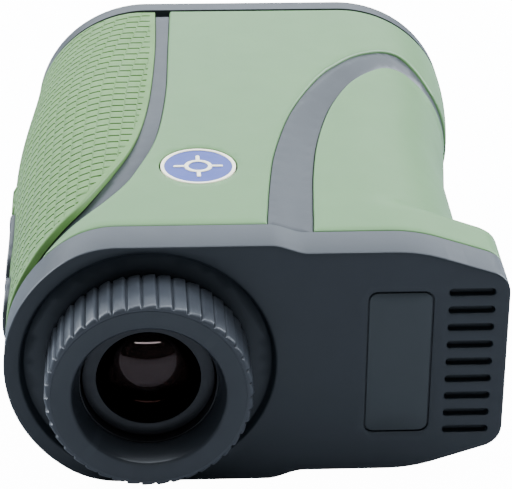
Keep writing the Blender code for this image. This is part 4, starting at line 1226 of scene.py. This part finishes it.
def floor():
    """Wide pale floor; it looks white to the camera and gives off no light."""
    bm = bmesh.new()
    bmesh.ops.create_grid(bm, x_segments=1, y_segments=1, size=4.0)
    mesh = bpy.data.meshes.new("floor")
    bm.to_mesh(mesh)
    bm.free()
    made = bpy.data.objects.new("floor", mesh)
    bpy.context.collection.objects.link(made)
    material, tree, shader = fresh_material("pale_floor")
    shader.inputs["Base Color"].default_value = (0.32, 0.34, 0.37, 1.0)
    shader.inputs["Roughness"].default_value = 0.9
    shader.inputs["Specular IOR Level"].default_value = 0.0
    shader.inputs["Emission Color"].default_value = (1.0, 1.0, 1.0, 1.0)
    path = node(tree, "ShaderNodeLightPath")
    glow = node(tree, "ShaderNodeMath", operation="MULTIPLY")
    glow.inputs[1].default_value = FLOOR_GLOW
    link(tree, path, "Is Camera Ray", glow, 0)
    link(tree, glow, "Value", shader, "Emission Strength")
    mesh.materials.append(material)


def soft_light(name, location, target, size, power):
    data = bpy.data.lights.new(name, "AREA")
    data.shape = "RECTANGLE"
    data.size, data.size_y = size
    data.energy = power
    data.color = SKY
    made = bpy.data.objects.new(name, data)
    made.location = location
    direction = Vector(target) - Vector(location)
    made.rotation_mode = "QUATERNION"
    made.rotation_quaternion = direction.to_track_quat("-Z", "Y")
    made.visible_camera = False
    bpy.context.collection.objects.link(made)


def lighting():
    """Soft studio light from boxes, in a dim room with a white backdrop."""
    world = bpy.data.worlds.new("studio")
    world.use_nodes = True
    tree = world.node_tree
    background = tree.nodes["Background"]
    path = node(tree, "ShaderNodeLightPath")
    strength = node(tree, "ShaderNodeMapRange")
    strength.inputs["To Min"].default_value = 0.045
    strength.inputs["To Max"].default_value = BACKDROP
    link(tree, path, "Is Camera Ray", strength, "Value")
    link(tree, strength, "Result", background, "Strength")
    background.inputs["Color"].default_value = (0.93, 0.96, 1.0, 1.0)
    bpy.context.scene.world = world
    target = (0.0, 0.0, 0.02)
    soft_light("overhead", (0.0, 0.04, 0.8), target, (0.9, 0.6), 15.0)
    soft_light("behind", (0.0, 1.0, 0.52), target, (1.6, 0.75), 16.0)
    soft_light("left_side", (-0.85, 0.35, 0.40), target, (0.6, 0.6), 17.0)
    soft_light("right_side", (0.85, 0.35, 0.40), target, (0.6, 0.6), 22.0)
    soft_light("eyepiece_glint", (-0.02, -0.95, 0.40), (-0.018, -0.05, 0.022), (0.7, 0.035), 1.2)


def camera():
    """Camera placed from the eyepiece axis, in millimetres and degrees."""
    data = bpy.data.cameras.new("camera")
    data.lens = CAMERA_LENS
    data.sensor_width = 36.0
    data.clip_start = 0.01
    data.clip_end = 20.0
    made = bpy.data.objects.new("camera", data)
    down, yaw, roll = (math.radians(a) for a in (CAMERA_DOWN, CAMERA_YAW, CAMERA_ROLL))
    ahead = Vector((math.sin(yaw) * math.cos(down), math.cos(yaw) * math.cos(down), -math.sin(down)))
    right = Vector((math.cos(yaw), -math.sin(yaw), 0.0))
    up = right.cross(ahead)
    turned_right = right * math.cos(roll) + up * math.sin(roll)
    turned_up = up * math.cos(roll) - right * math.sin(roll)
    rotation = Matrix((turned_right, turned_up, -ahead)).transposed()
    made.matrix_world = Matrix.Translation(AXIS + Vector(CAMERA_PLACE) * MM) @ rotation.to_4x4()
    bpy.context.collection.objects.link(made)
    bpy.context.scene.camera = made


camera()
dress_frame()
for side in (1, -1):
    side_panel(side)
    finger_panel(side)
    housing(side)
badge()
top_grip()
rear_cover()
label_plate()
front_bezel()
battery_cap()
button("measure_button", "measure_key")
button("mode_button", "mode_key")
eyecup()
round_pieces()
floor()
lighting()
